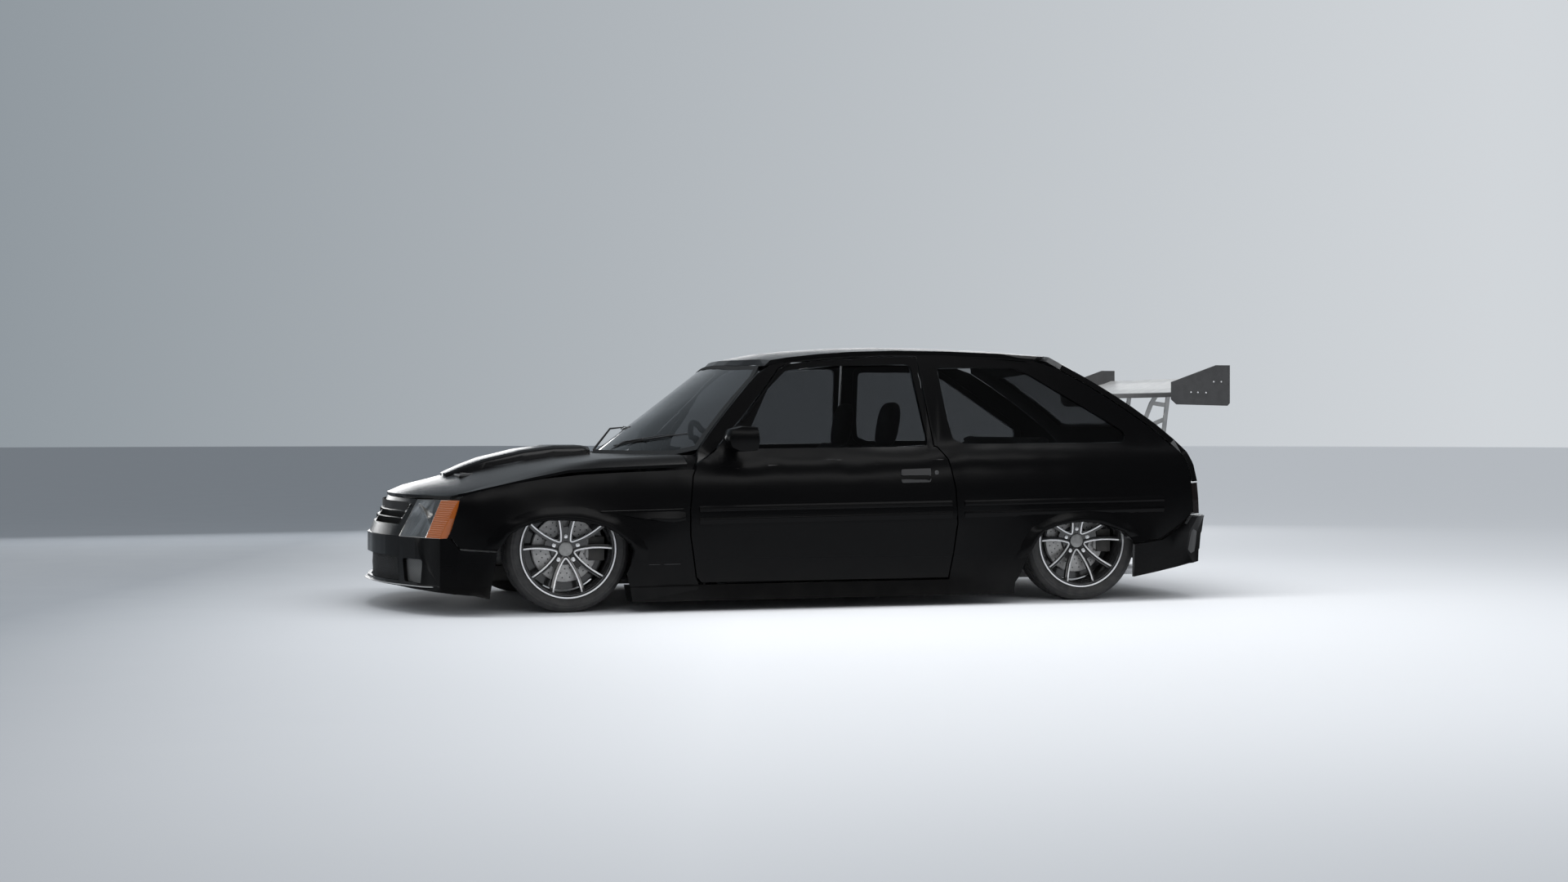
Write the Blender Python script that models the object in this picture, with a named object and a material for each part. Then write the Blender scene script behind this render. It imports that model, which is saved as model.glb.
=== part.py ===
"""A lowered three-door hatchback, built panel by panel.

Run with: blender --background --python part.py
Lengths are in metres. The car is drawn from a datum on the ground close to
the front axle: s runs rearwards, Y across the car and Z up, and the left side
is at -Y. An empty carries that datum, so that the whole car is centred.
"""
import math

import bmesh
import bpy
from mathutils import Matrix, Vector

# Overall layout
WHEELBASE = 2.331
BODY_HALF_WIDTH = 0.777
NOSE_S = 0.755
WING_END = 3.100
PANEL_GAP = 0.006
SEAT_GAP = 0.0003

# Wall thicknesses
SKIN = 0.008
SIDE_WALL = 0.030
DOOR_FRAME_WALL = 0.028
DOOR_SLANT = 0.20
ROOF_WALL = 0.020
HOOD_WALL = 0.012
HATCH_WALL = 0.024
GLASS = 0.005

# Heights
FLOOR_BOTTOM = 0.105
FLOOR_WALL = 0.012
SKIRT_BOTTOM = 0.045
DOOR_BOTTOM = 0.118
ROOF_TOP = 1.139

# Wheels and tyres
TYRE_RADIUS = 0.263
TYRE_WIDTH = 0.165
RIM_LIP_RADIUS = 0.2045
BEAD_RADIUS = 0.1905
RIM_HALF_WIDTH = 0.0760
FLANGE = 0.006
BARREL_WALL = 0.007
WHEEL_PLANE = 0.596
HUB_FACE = -0.026
SPOKE_TIP = 0.188
SPOKE_BACK = 0.002
SPOKE_WALL = 0.016
SPOKE_DISH = 0.044
WHEEL_SEGMENTS = 28
SPOKE_PAIRS = 5
DISC_RADIUS = 0.140
DISC_WALL = 0.022

# Steering axis, from the lower ball joint to the top of the strut
BALL_JOINT_Y = 0.530
BALL_JOINT_Z = 0.150
STRUT_TOP_Y = 0.445
STRUT_TOP_Z = 0.548
STRUT_RADIUS = 0.024

SIDES = {"left": -1, "right": 1}

# The stations and width that the car is drawn at. fitted() carries it to the sizes above
AXLES = (0.010, 2.341)
FRONT_AXLE, REAR_AXLE = AXLES
DRAWN_HALF_WIDTH = 0.777
LONGER = WHEELBASE - (REAR_AXLE - FRONT_AXLE)
WIDER = BODY_HALF_WIDTH - DRAWN_HALF_WIDTH
OVERALL_LENGTH = NOSE_S + WING_END + LONGER
DATUM_X = NOSE_S - OVERALL_LENGTH / 2


# Smooth curves

def curve_value(x, knots):
    """Reads a smooth curve through (x, value) knots, held level past its ends."""
    if x <= knots[0][0]:
        return knots[0][1]
    if x >= knots[-1][0]:
        return knots[-1][1]
    i = max(k for k in range(len(knots) - 1) if knots[k][0] <= x)
    (x0, y0), (x1, y1) = knots[i], knots[i + 1]
    span = x1 - x0
    rise = (y1 - y0) / span

    def slope_at(k):
        if k == 0 or k == len(knots) - 1:
            return rise
        before = (knots[k][1] - knots[k - 1][1]) / (knots[k][0] - knots[k - 1][0])
        after = (knots[k + 1][1] - knots[k][1]) / (knots[k + 1][0] - knots[k][0])
        if before * after <= 0:
            return 0.0
        return 2 * before * after / (before + after)

    t = (x - x0) / span
    m0, m1 = slope_at(i) * span, slope_at(i + 1) * span
    return (
        (2 * t**3 - 3 * t**2 + 1) * y0
        + (t**3 - 2 * t**2 + t) * m0
        + (3 * t**2 - 2 * t**3) * y1
        + (t**3 - t**2) * m1
    )


def line_value(x, knots):
    """Reads a straight-sided curve through (x, value) knots."""
    if x <= knots[0][0]:
        return knots[0][1]
    for (x0, y0), (x1, y1) in zip(knots, knots[1:]):
        if x <= x1:
            return y0 + (y1 - y0) * (x - x0) / (x1 - x0)
    return knots[-1][1]


# Body surface

NOSE_PLAN = 0.43
SCREEN_RUN = 1.363
SCREEN_BASE_S = 0.280
SCREEN_BASE_Z = 0.665
PLAN_WIDTH = [(-0.55, -0.085), (-0.45, -0.058), (-0.30, -0.024), (-0.12, -0.003), (0.3, 0.0),
              (1.9, 0.0), (2.3, -0.008), (2.6, -0.024), (2.86, -0.052)]
SHOULDER = [(-0.52, 0.500), (-0.35, 0.553), (-0.20, 0.590), (0.00, 0.632), (0.25, 0.655),
            (0.50, 0.664), (1.00, 0.670), (1.70, 0.684), (2.60, 0.690)]
BELLY_Z = 0.450
TURN_UNDER = [(0.04, 0.010), (0.12, 0.018), (0.22, 0.008), (0.34, 0.0), (BELLY_Z, 0.0)]
SHOULDER_ROLL = [(0.0, 0.0), (0.35, 0.006), (0.7, 0.024), (0.88, 0.044), (1.0, 0.080)]
GLASS_LEAN = 0.374
SHOULDER_INSET = SHOULDER_ROLL[-1][1]

FLARE = 0.018
ARCH_OVALS = [(-0.020, 0.255, 0.292, 0.137), (2.300, 0.205, 0.312, 0.150)]
MOULDING_RISE = 0.0122
MOULDING = [(-0.040, 0.0), (-0.036, 0.006), (-0.016, 0.006), (-0.012, 0.0), (0.000, 0.0),
            (0.006, 0.012), (0.026, 0.012), (0.044, 0.002), (0.050, 0.0)]
MOULDING_Z = 0.372
MOULDING_START = 0.50


def moulding_z(s):
    return MOULDING_Z + MOULDING_RISE * (s - MOULDING_START)


def shoulder_z(s):
    return curve_value(s, SHOULDER)


def side_y(s, z):
    """Half width of the body's outer skin at a station and height."""
    half = DRAWN_HALF_WIDTH + curve_value(s, PLAN_WIDTH)
    if z <= BELLY_Z:
        return half - curve_value(z, TURN_UNDER)
    top = shoulder_z(s)
    if z <= top:
        return half - curve_value((z - BELLY_Z) / (top - BELLY_Z), SHOULDER_ROLL)
    return half - SHOULDER_INSET - GLASS_LEAN * (z - top)


def flare(s, z):
    """How far the wheel arches' lips stand out of the body side."""
    if z < 0.10:
        return 0.0
    out = 0.0
    for centre_s, centre_z, half_long, half_high in ARCH_OVALS:
        reach = math.hypot((s - centre_s) / half_long, max(0.0, z - centre_z) / half_high)
        fade = min(1.0, max(0.0, (1.36 - reach) / 0.22))
        out = max(out, FLARE * fade * fade * (3 - 2 * fade))
    return out


def side_y_trimmed(s, z):
    """The same skin with wheel arch flares and the rubbing strip along doors and quarters."""
    ends = line_value(s, [(0.500, 0.0), (0.560, 1.0), (2.760, 1.0), (2.800, 0.0)])
    strip = line_value(z - moulding_z(s), MOULDING) * ends
    return side_y(s, z) + max(flare(s, z), strip)


ROOF_PROFILE = [(0.84, 1.074), (0.95, 1.098), (1.10, 1.117), (1.30, 1.132), (1.50, ROOF_TOP),
                (1.75, 1.137), (2.00, 1.129), (2.28, 1.110)]
ROOF_CROWN = 0.026


def roof_z(s, y):
    edge = abs(y) / 0.54
    return curve_value(s, ROOF_PROFILE) - ROOF_CROWN * edge**2


def screen_s(y, z):
    """Outer face of the windscreen, curved in plan."""
    up = (z - SCREEN_BASE_Z) / 0.41
    plan = 0.62 - 0.27 * up
    return SCREEN_BASE_S + SCREEN_RUN * (z - SCREEN_BASE_Z) + plan * y * y


HATCH_PROFILE = [(0.36, 2.972), (0.50, 2.965), (0.60, 2.950), (0.66, 2.923), (0.718, 2.872),
                 (0.866, 2.676), (0.992, 2.472), (1.062, 2.342), (1.108, 2.262)]
HATCH_PLAN = 0.09
CORNER_BAND = 0.12
CORNER_DROP = 0.030


def tail_half_width(z):
    return side_y(2.84 if z < 0.62 else 2.84 - 1.45 * (z - 0.62), z)


def tail_s(y, z):
    """Outer face of the tail, from the roof's rear edge down to the bumper."""
    band = max(0.0, abs(y) - (tail_half_width(z) - CORNER_BAND)) / CORNER_BAND
    return curve_value(z, HATCH_PROFILE) - HATCH_PLAN * y * y - CORNER_DROP * band**2


def tail_point(y, z, depth):
    """A point below the tail's outer face, measured square to its centre line."""
    slope = (curve_value(z + 0.01, HATCH_PROFILE) - curve_value(z - 0.01, HATCH_PROFILE)) / 0.02
    square = 1 / math.hypot(1, slope)
    return tail_s(y, z) - depth * square, y, z + slope * depth * square


def tail_shut(z):
    """A point of the body side's rear edge, just ahead of the hatch's side face."""
    s, _, height = tail_point(tail_half_width(z), z, HATCH_WALL + PANEL_GAP)
    return s, height


HOOD_NOSE_S = -0.656
HOOD_RISE = [(0.0, 0.490), (0.02, 0.502), (0.10, 0.525), (0.20, 0.549), (0.32, 0.581),
             (0.46, 0.617), (0.62, 0.643), (0.80, 0.656), (1.10, 0.664)]
HOOD_SIDE = 0.738
HOOD_CREASE = 0.665
HOOD_REAR_S = 0.220
HOOD_REAR_PLAN = 0.575
HOOD_SIDE_S = 0.492
SHUT = [(-0.46, 0.487), (-0.43, 0.500), (-0.272, 0.541), (-0.112, 0.568), (0.050, 0.584),
        (0.213, 0.592), (0.346, 0.597), (0.53, 0.604)]


def hood_half_width(s):
    return HOOD_SIDE + curve_value(s, PLAN_WIDTH)


def hood_z(s, y):
    """Outer face of the hood: a crowned top that rolls down at its sides."""
    nose = HOOD_NOSE_S + NOSE_PLAN * y * y
    top = curve_value(s - nose, HOOD_RISE)
    side = hood_half_width(s)
    crease = side - (HOOD_SIDE - HOOD_CREASE)
    if abs(y) <= crease:
        return top
    roll = (abs(y) - crease) / (side - crease)
    low = min(top, curve_value(s, SHUT) + HOOD_WALL + PANEL_GAP)
    return top + (low - top) * roll**2


FACE_RUN = [(0.30, -0.742), (0.33, -0.734), (0.36, -0.722), (0.47, -0.660), (0.50, -0.648)]


def face_s(y, z):
    """Outer face of the nose above the bumper, where the lamps and grille sit."""
    return curve_value(z, FACE_RUN) + NOSE_PLAN * y * y


# Materials and objects

def material(name, colour, roughness, metallic=0.0, alpha=1.0):
    made = bpy.data.materials.get(name)
    if made:
        return made
    made = bpy.data.materials.new(name)
    made.use_nodes = True
    shader = made.node_tree.nodes["Principled BSDF"]
    shader.inputs["Base Color"].default_value = (*colour, 1.0)
    shader.inputs["Roughness"].default_value = roughness
    shader.inputs["Metallic"].default_value = metallic
    shader.inputs["Alpha"].default_value = alpha
    return made


def black_paint():
    return material("black_paint", (0.012, 0.012, 0.013), 0.12)


def black_plastic():
    return material("black_plastic", (0.02, 0.02, 0.02), 0.5)


def dark_glass():
    return material("dark_glass", (0.05, 0.06, 0.06), 0.05, alpha=0.35)


def headlamp_lens():
    return material("headlamp_lens", (0.70, 0.72, 0.74), 0.1)


def amber_lens():
    return material("amber_lens", (0.62, 0.24, 0.04), 0.15)


def smoked_lens():
    return material("smoked_lens", (0.05, 0.01, 0.01), 0.1)


def tyre_rubber():
    return material("tyre_rubber", (0.03, 0.03, 0.03), 0.85)


def rim_alloy():
    return material("rim_alloy", (0.03, 0.03, 0.03), 0.25, 0.8)


def wing_metal():
    return material("wing_metal", (0.35, 0.36, 0.37), 0.35, 0.6)


def underbody():
    return material("underbody", (0.03, 0.03, 0.03), 0.7)


def bare_metal():
    return material("bare_metal", (0.35, 0.35, 0.36), 0.45, 0.9)


def seat_fabric():
    return material("seat_fabric", (0.04, 0.04, 0.045), 0.9)


class Car:
    """Holds the datum empty that every piece is placed on."""
    datum = None


def fitted(point):
    """Carries a drawn point to its place in a car of the wheelbase and width set above."""
    s, y, z = point
    back = line_value(s, [(0.34, 0.0), (2.00, LONGER)])
    out = line_value(abs(y), [(0.0, 0.0), (0.50, WIDER)])
    return Vector((s + back, y + math.copysign(out, y), z))


def finish(name, bm, skin, origin=(0, 0, 0), smooth=35.0):
    """Turns a bmesh drawn in datum coordinates into a named piece with its origin at a point."""
    bmesh.ops.recalc_face_normals(bm, faces=bm.faces)
    if bm.calc_volume(signed=True) < 0:
        bmesh.ops.reverse_faces(bm, faces=bm.faces)
    origin = fitted(origin)
    for vert in bm.verts:
        vert.co = fitted(vert.co) - origin
    mesh = bpy.data.meshes.new(name)
    bm.to_mesh(mesh)
    bm.free()
    mesh.shade_smooth()
    mesh.set_sharp_from_angle(angle=math.radians(smooth))
    mesh.materials.append(skin)
    piece = bpy.data.objects.new(name, mesh)
    bpy.context.scene.collection.objects.link(piece)
    piece.parent = Car.datum
    piece.location = origin
    return piece


def cutter(name, bm, origin=(0, 0, 0)):
    made = finish(name, bm, underbody(), origin)
    made.hide_render = True
    made.display_type = "WIRE"
    return made


def boolean(piece, other, operation):
    step = piece.modifiers.new(operation.lower(), "BOOLEAN")
    step.operation = operation
    step.solver = "EXACT"
    step.object = other


def add_shape(piece, name, bm, origin=(0, 0, 0)):
    boolean(piece, cutter(piece.name + "_" + name, bm, origin), "UNION")


def cut_shape(piece, name, bm, origin=(0, 0, 0)):
    boolean(piece, cutter(piece.name + "_" + name, bm, origin), "DIFFERENCE")


# Outlines

def inset_outline(points, distance):
    """Moves each side of an outline inwards, or outwards for a distance below zero."""
    area = sum(a[0] * b[1] - b[0] * a[1] for a, b in zip(points, points[1:] + points[:1]))
    turn = 1.0 if area > 0 else -1.0
    moved = []
    for i, point in enumerate(points):
        before = Vector(point) - Vector(points[i - 1])
        after = Vector(points[(i + 1) % len(points)]) - Vector(point)
        before.normalize()
        after.normalize()
        n0 = Vector((-before.y, before.x)) * turn
        n1 = Vector((-after.y, after.x)) * turn
        middle = (n0 + n1).normalized()
        reach = distance / max(0.35, middle.dot(n0))
        moved.append(tuple(Vector(point) + middle * reach))
    return moved


def rounded(points, radius, steps=3):
    """Rounds an outline's corners. A point may carry its own radius as a third value."""
    out = []
    count = len(points)
    for i, corner in enumerate(points):
        r = corner[2] if len(corner) > 2 else radius
        here = Vector(corner[:2])
        before = Vector(points[i - 1][:2]) - here
        after = Vector(points[(i + 1) % count][:2]) - here
        turn = before.angle(after)
        if r <= 0 or turn > math.radians(172):
            out.append(tuple(here))
            continue
        back = min(r / math.tan(turn / 2), before.length * 0.45, after.length * 0.45)
        start = here + before.normalized() * back
        end = here + after.normalized() * back
        for k in range(steps + 1):
            t = k / steps
            out.append(tuple(start * (1 - t) ** 2 + here * 2 * t * (1 - t) + end * t * t))
    return out


def flat_region(outline, holes, lines):
    """A flat face with holes, cut along straight lines given as (point, normal)."""
    bm = bmesh.new()
    edges = []
    for loop in [outline, *holes]:
        verts = [bm.verts.new((u, v, 0)) for u, v in loop]
        edges += [bm.edges.new((a, b)) for a, b in zip(verts, verts[1:] + verts[:1])]
    bmesh.ops.triangle_fill(bm, use_beauty=True, edges=edges, normal=(0, 0, 1))
    for point, normal in lines:
        cut = bmesh.ops.bisect_plane(
            bm, geom=bm.verts[:] + bm.edges[:] + bm.faces[:], dist=1e-6,
            plane_co=(*point, 0), plane_no=(*normal, 0))
        for item in cut["geom_cut"]:
            if isinstance(item, bmesh.types.BMEdge):
                item.seam = True
    bmesh.ops.dissolve_limit(
        bm, angle_limit=0.01, verts=bm.verts, edges=bm.edges, delimit={"SEAM"})
    return bm


def across(values):
    """Lines of constant first coordinate."""
    return [((value, 0), (1, 0)) for value in values]


def level(values):
    """Lines of constant second coordinate."""
    return [((0, value), (0, 1)) for value in values]


def mapped_panel(outline, holes, lines, outer, inner):
    """A walled panel: a flat region whose two faces are laid on two surfaces."""
    bm = flat_region(outline, holes, lines)
    made = bmesh.ops.extrude_face_region(bm, geom=bm.faces[:])
    inside = {v for v in made["geom"] if isinstance(v, bmesh.types.BMVert)}
    for vert in bm.verts:
        place = inner if vert in inside else outer
        vert.co = Vector(place(vert.co.x, vert.co.y))
    return bm


def side_panel(outline, holes, lines, side, skin, inside):
    """A panel of the body side. skin and inside give the half widths of its two faces."""
    def outer(s, z):
        return s, side * skin(s, z), z

    def inner(s, z):
        return s, side * inside(s, z), z

    return mapped_panel(outline, holes, lines, outer, inner)


def top_panel(outline, holes, lines, surface, wall, lead=lambda s: 0.0):
    """A panel seen from above. lead moves its lower face along, to slant its end edges."""
    def outer(s, y):
        return s, y, surface(s, y)

    def inner(s, y):
        return s + lead(s), y, surface(s + lead(s), y) - wall

    return mapped_panel(outline, holes, lines, outer, inner)


def end_panel(outline, holes, lines, surface, wall):
    """A panel of the nose or windscreen. A wall above zero goes rearwards."""
    def outer(y, z):
        return surface(y, z), y, z

    def inner(y, z):
        return surface(y, z) + wall, y, z

    return mapped_panel(outline, holes, lines, outer, inner)


def tail_panel(outline, holes, lines, near, far):
    """A panel of the tail, between two depths below the tail's outer face."""
    def outer(y, z):
        return tail_point(y, z, near)

    def inner(y, z):
        return tail_point(y, z, far)

    return mapped_panel(outline, holes, lines, outer, inner)


def band_panel(outline, holes, lines, plan, near, far):
    """A bumper: a region along a plan curve, between two depths below that curve."""
    def outer(t, z):
        return plan_point(plan, t, near(z), z)

    def inner(t, z):
        return plan_point(plan, t, far(z), z)

    return mapped_panel(outline, holes, lines, outer, inner)


def plan_point(plan, t, depth, z):
    """A point a distance along a (run, s, y) curve, sunk below it. It is mirrored for t < 0."""
    run = [(k[0], k[1]) for k in plan]
    out = [(k[0], k[2]) for k in plan]
    d = abs(t)
    here = Vector((curve_value(d, run), curve_value(d, out)))
    ahead = Vector((curve_value(d + 0.01, run), curve_value(d + 0.01, out)))
    back = Vector((curve_value(d - 0.01, run), curve_value(d - 0.01, out)))
    if d < 0.012:
        back = Vector((ahead.x, -ahead.y))
    along = (ahead - back).normalized()
    inward = Vector((along.y, -along.x))
    if inward.y > 0 or (abs(inward.y) < 1e-9 and inward.x * here.x > 0):
        inward = -inward
    place = here + inward * depth
    return place.x, math.copysign(place.y, t), z


def plan_curve(points):
    """Adds to each (s, y) point its distance along the curve."""
    out = [(0.0, *points[0])]
    for before, after in zip(points, points[1:]):
        out.append((out[-1][0] + math.dist(before, after), *after))
    return out


def prism(points, plane, low, high):
    """Extrudes an outline. plane is the pair of axes that the outline lies in."""
    axes = "XYZ"
    u, v = axes.index(plane[0]), axes.index(plane[1])
    w = 3 - u - v
    bm = bmesh.new()
    verts = []
    for a, b in points:
        co = [0.0, 0.0, 0.0]
        co[u], co[v], co[w] = a, b, low
        verts.append(bm.verts.new(co))
    face = bm.faces.new(verts)
    made = bmesh.ops.extrude_face_region(bm, geom=[face])
    shift = Vector((0, 0, 0))
    shift[w] = high - low
    bmesh.ops.translate(
        bm, verts=[v for v in made["geom"] if isinstance(v, bmesh.types.BMVert)], vec=shift)
    bmesh.ops.recalc_face_normals(bm, faces=bm.faces)
    return bm


def box(low, high):
    return prism([(low[0], low[1]), (high[0], low[1]), (high[0], high[1]), (low[0], high[1])],
                 "XY", low[2], high[2])


def mirrored(points):
    """Completes an outline in (y, other) from its half at y above zero."""
    return points + [(-y, other) for y, other in reversed(points) if abs(y) > 1e-9]


def turned(profile, centre, segments=WHEEL_SEGMENTS, axis="Y"):
    """Spins a closed (radius, along) outline round a line through centre."""
    bm = bmesh.new()
    rings = []
    for r, a in profile:
        if r < 1e-9:
            rings.append([bm.verts.new((0, a, 0))] * segments)
            continue
        angles = [2 * math.pi * k / segments for k in range(segments)]
        rings.append([bm.verts.new((r * math.cos(b), a, r * math.sin(b))) for b in angles])
    for one, two in zip(rings, rings[1:] + rings[:1]):
        for k in range(segments):
            j = (k + 1) % segments
            corners = list(dict.fromkeys((one[k], one[j], two[j], two[k])))
            if len(corners) > 2:
                bm.faces.new(corners)
    bmesh.ops.recalc_face_normals(bm, faces=bm.faces)
    if axis == "X":
        bmesh.ops.rotate(bm, verts=bm.verts, matrix=Matrix.Rotation(math.radians(-90), 3, "Z"))
    if axis == "Z":
        bmesh.ops.rotate(bm, verts=bm.verts, matrix=Matrix.Rotation(math.radians(90), 3, "X"))
    bmesh.ops.translate(bm, verts=bm.verts, vec=centre)
    return bm


def rod(start, end, radius, sides=10):
    """A round bar between two points."""
    start, end = Vector(start), Vector(end)
    along = end - start
    bm = bmesh.new()
    bmesh.ops.create_cone(bm, cap_ends=True, segments=sides, radius1=radius, radius2=radius,
                          depth=along.length)
    turn = along.to_track_quat("Z", "Y").to_matrix().to_4x4()
    bmesh.ops.transform(bm, verts=bm.verts, matrix=Matrix.Translation((start + end) / 2) @ turn)
    return bm


# Body side

SILL_INSIDE = 0.655
SILL_TOP = DOOR_BOTTOM - PANEL_GAP
REAR_FACE_Z = 0.385
ARCH_REAR = [(1.985, 0.095), (2.035, 0.205), (2.080, 0.280), (2.113, 0.318), (2.179, 0.341),
             (2.235, 0.351), (2.292, 0.355), (2.373, 0.348), (2.445, 0.327), (2.498, 0.309),
             (2.551, 0.264)]
ARCH_FRONT = [(-0.305, 0.268), (-0.252, 0.336), (-0.209, 0.361), (-0.166, 0.378),
              (-0.097, 0.391), (-0.027, 0.391), (0.030, 0.386), (0.095, 0.372), (0.139, 0.363),
              (0.183, 0.339), (0.245, 0.294), (0.264, 0.262), (0.254, 0.205), (0.237, 0.165)]
DOOR_FRONT = [(0.562, 0.122), (0.542, 0.147), (0.514, 0.323), (0.513, 0.428), (0.528, 0.568),
              (0.552, 0.622)]
DOOR_REAR = [(1.626, 0.690), (1.641, 0.686), (1.675, 0.631), (1.699, 0.503), (1.704, 0.357),
             (1.689, 0.229), (1.670, 0.122)]
DOOR_TOP = [(0.635, 0.670), (0.774, 0.813), (0.867, 0.916), (0.961, 1.029), (1.017, 1.052),
            (1.150, 1.067), (1.437, 1.084), (1.597, 1.084)]
QUARTER_GLASS = [(1.708, 0.804), (1.688, 1.038), (2.065, 1.036), (2.135, 1.004), (2.551, 0.757),
                 (2.561, 0.729), (2.541, 0.705), (1.777, 0.701), (1.723, 0.721)]
DOOR_GLASS = [(0.755, 0.682), (0.899, 0.939), (0.988, 1.020), (1.144, 1.040), (1.566, 1.052),
              (1.605, 0.690)]
SIDE_STATIONS = [0.66, 1.02, 1.42, 1.76, 1.98, 2.14, 2.26, 2.38, 2.52, 2.66, 2.82]
SIDE_LEVELS = [0.118, 0.45, 0.525, 0.60, 0.645, 0.670, 0.690]


def door_outline():
    return DOOR_FRONT + DOOR_TOP + DOOR_REAR


def rail_top(s):
    """Height at which the body side's rail meets the underside of the roof."""
    z = 1.10
    for _ in range(6):
        z = roof_z(s, side_y(s, z)) - ROOF_WALL - SEAT_GAP
    return z


def screen_edge(z):
    """The windscreen's side edge as seen from the side, where the pillar starts."""
    s = SCREEN_BASE_S
    for _ in range(8):
        s = screen_s(side_y(s, z) - SIDE_WALL, z)
    return s, z


def body_side_outline():
    """Runs from the pillar's foot over the roof rail, down the tail and back under the door."""
    opening = inset_outline(DOOR_FRONT + DOOR_TOP + DOOR_REAR, -PANEL_GAP)
    first = len(DOOR_FRONT) - 1
    pillar = [screen_edge(z) for z in (0.680, 0.76, 0.84, 0.92, 1.00)]
    rail = [(s, rail_top(s)) for s in (0.925, 1.0, 1.15, 1.3, 1.5, 1.75, 2.0, 2.16)]
    tail = [tail_shut(z) for z in (1.062, 1.03, 0.992, 0.93, 0.866, 0.79, 0.718, 0.68, 0.64, 0.60,
                                   0.53, 0.45, REAR_FACE_Z)]
    bumper_line = [(2.857, 0.384), (2.813, 0.352), (2.700, 0.278), (2.575, 0.262)]
    arch = list(reversed(ARCH_REAR))
    skirt = [(1.975, SKIRT_BOTTOM), (0.264, SKIRT_BOTTOM), (0.250, SILL_TOP)]
    under = [(0.300, SILL_TOP), (opening[-1][0], SILL_TOP)]
    around_door = list(reversed(opening[first + 1:-1]))
    return ([opening[first]] + pillar + rail + tail + bumper_line + arch + skirt + under
            + around_door)


def side_inside(s, z):
    if z < SILL_TOP + 0.004:
        return SILL_INSIDE
    return side_y(s, z) - SIDE_WALL


def hinge_post(side):
    section = [(0.6553, 0.060), (0.668, 0.060), (0.668, 0.580), (0.655, 0.620),
               (0.655, 0.690), (0.672, 0.700), (0.672, 0.720), (0.600, 0.720),
               (0.600, 0.1176), (0.6553, 0.1176)]
    return prism([(side * y, z) for y, z in section], "YZ", 0.622, 0.650)


def body_side(word):
    side = SIDES[word]
    glass = rounded(QUARTER_GLASS, 0.02, 2)
    lines = across(SIDE_STATIONS) + level(SIDE_LEVELS)
    bm = side_panel(body_side_outline(), [glass], lines, side, side_y_trimmed, side_inside)
    panel = finish("body_side_" + word, bm, black_paint())
    add_shape(panel, "post", hinge_post(side))
    pin = turned([(0.0, -0.010), (0.0065, -0.010), (0.0065, 0.0097), (0.0, 0.0097)],
                 (DOOR_HINGE_S, side * DOOR_HINGE_Y, SILL_TOP), 10, "Z")
    add_shape(panel, "pin", pin)


def quarter_glass(word):
    side = SIDES[word]
    outline = inset_outline(rounded(QUARTER_GLASS, 0.02, 2), SEAT_GAP)
    bm = side_panel(outline, [], across([1.90, 2.10, 2.32]) + level([0.85]), side,
                    lambda s, z: side_y(s, z) - 0.006, lambda s, z: side_y(s, z) - 0.006 - GLASS)
    finish("quarter_glass_" + word, bm, dark_glass())


def fender(word):
    side = SIDES[word]
    top = [(0.534, 0.598), (0.346, 0.591), (0.213, 0.586), (0.050, 0.578), (-0.112, 0.562),
           (-0.272, 0.535), (-0.430, 0.494), (-0.447, 0.484)]
    front = [(-0.490, 0.332), (-0.484, 0.324), (-0.452, 0.277), (-0.400, 0.273)]
    rear = inset_outline(DOOR_FRONT + DOOR_TOP + DOOR_REAR, -PANEL_GAP)[:len(DOOR_FRONT) - 1]
    outline = top + front + ARCH_FRONT
    outline += [(0.250, SILL_TOP + SEAT_GAP), (0.550, SILL_TOP + SEAT_GAP)]
    outline += [p for p in rear if 0.13 < p[1] < 0.590]
    lines = across([-0.40, -0.28, -0.16, -0.04, 0.08, 0.20, 0.32, 0.44]) + level(
        [0.23, 0.31, 0.34, 0.38, 0.42, 0.45, 0.49, 0.53, 0.57])
    bm = side_panel(outline, [], lines, side, side_y_trimmed,
                    lambda s, z: side_y_trimmed(s, z) - SKIN)
    panel = finish("fender_" + word, bm, black_paint())
    # A foot on the sill and a bracket to the firewall carry the thin skin
    add_shape(panel, "bracket", prism(
        [(side * 0.520, 0.562), (side * 0.757, 0.562), (side * 0.757, 0.578),
         (side * 0.520, 0.578)], "YZ", 0.342 + SEAT_GAP, 0.372))


# Door

def door_inside(s, z):
    lower, upper = 0.560, 0.665
    frame = side_y(s, z) - DOOR_FRAME_WALL
    if z >= upper:
        return frame
    if z <= lower:
        return DOOR_INSIDE
    share = (z - lower) / (upper - lower)
    return DOOR_INSIDE * (1 - share) + (side_y(s, upper) - DOOR_FRAME_WALL) * share


def door(word):
    side = SIDES[word]
    outline = DOOR_FRONT + DOOR_TOP + DOOR_REAR
    lines = across([0.70, 1.20, 1.60]) + level(
        [0.23, 0.332, 0.336, 0.356, 0.360, 0.372, 0.378, 0.398, 0.416, 0.45, 0.525, 0.56, 0.60,
         0.635, 0.665])

    def skin(s, z):
        return side_y_trimmed(s, z)

    def outer(s, z):
        return s, side * skin(s, z), z

    def inner(s, z):
        edge = 1.617 - 0.108 * (z - 0.690)
        slant = DOOR_SLANT * (skin(s, z) - door_inside(s, z)) if s > edge else 0.0
        return s - slant, side * door_inside(s, z), z

    bm = mapped_panel(outline, [rounded(DOOR_GLASS, 0.025, 2)], lines, outer, inner)
    hinge = (DOOR_HINGE_S, side * DOOR_HINGE_Y, 0.35)
    panel = finish("door_" + word, bm, black_paint(), hinge)
    add_shape(panel, "mirror", mirror_shell(side), hinge)


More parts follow.
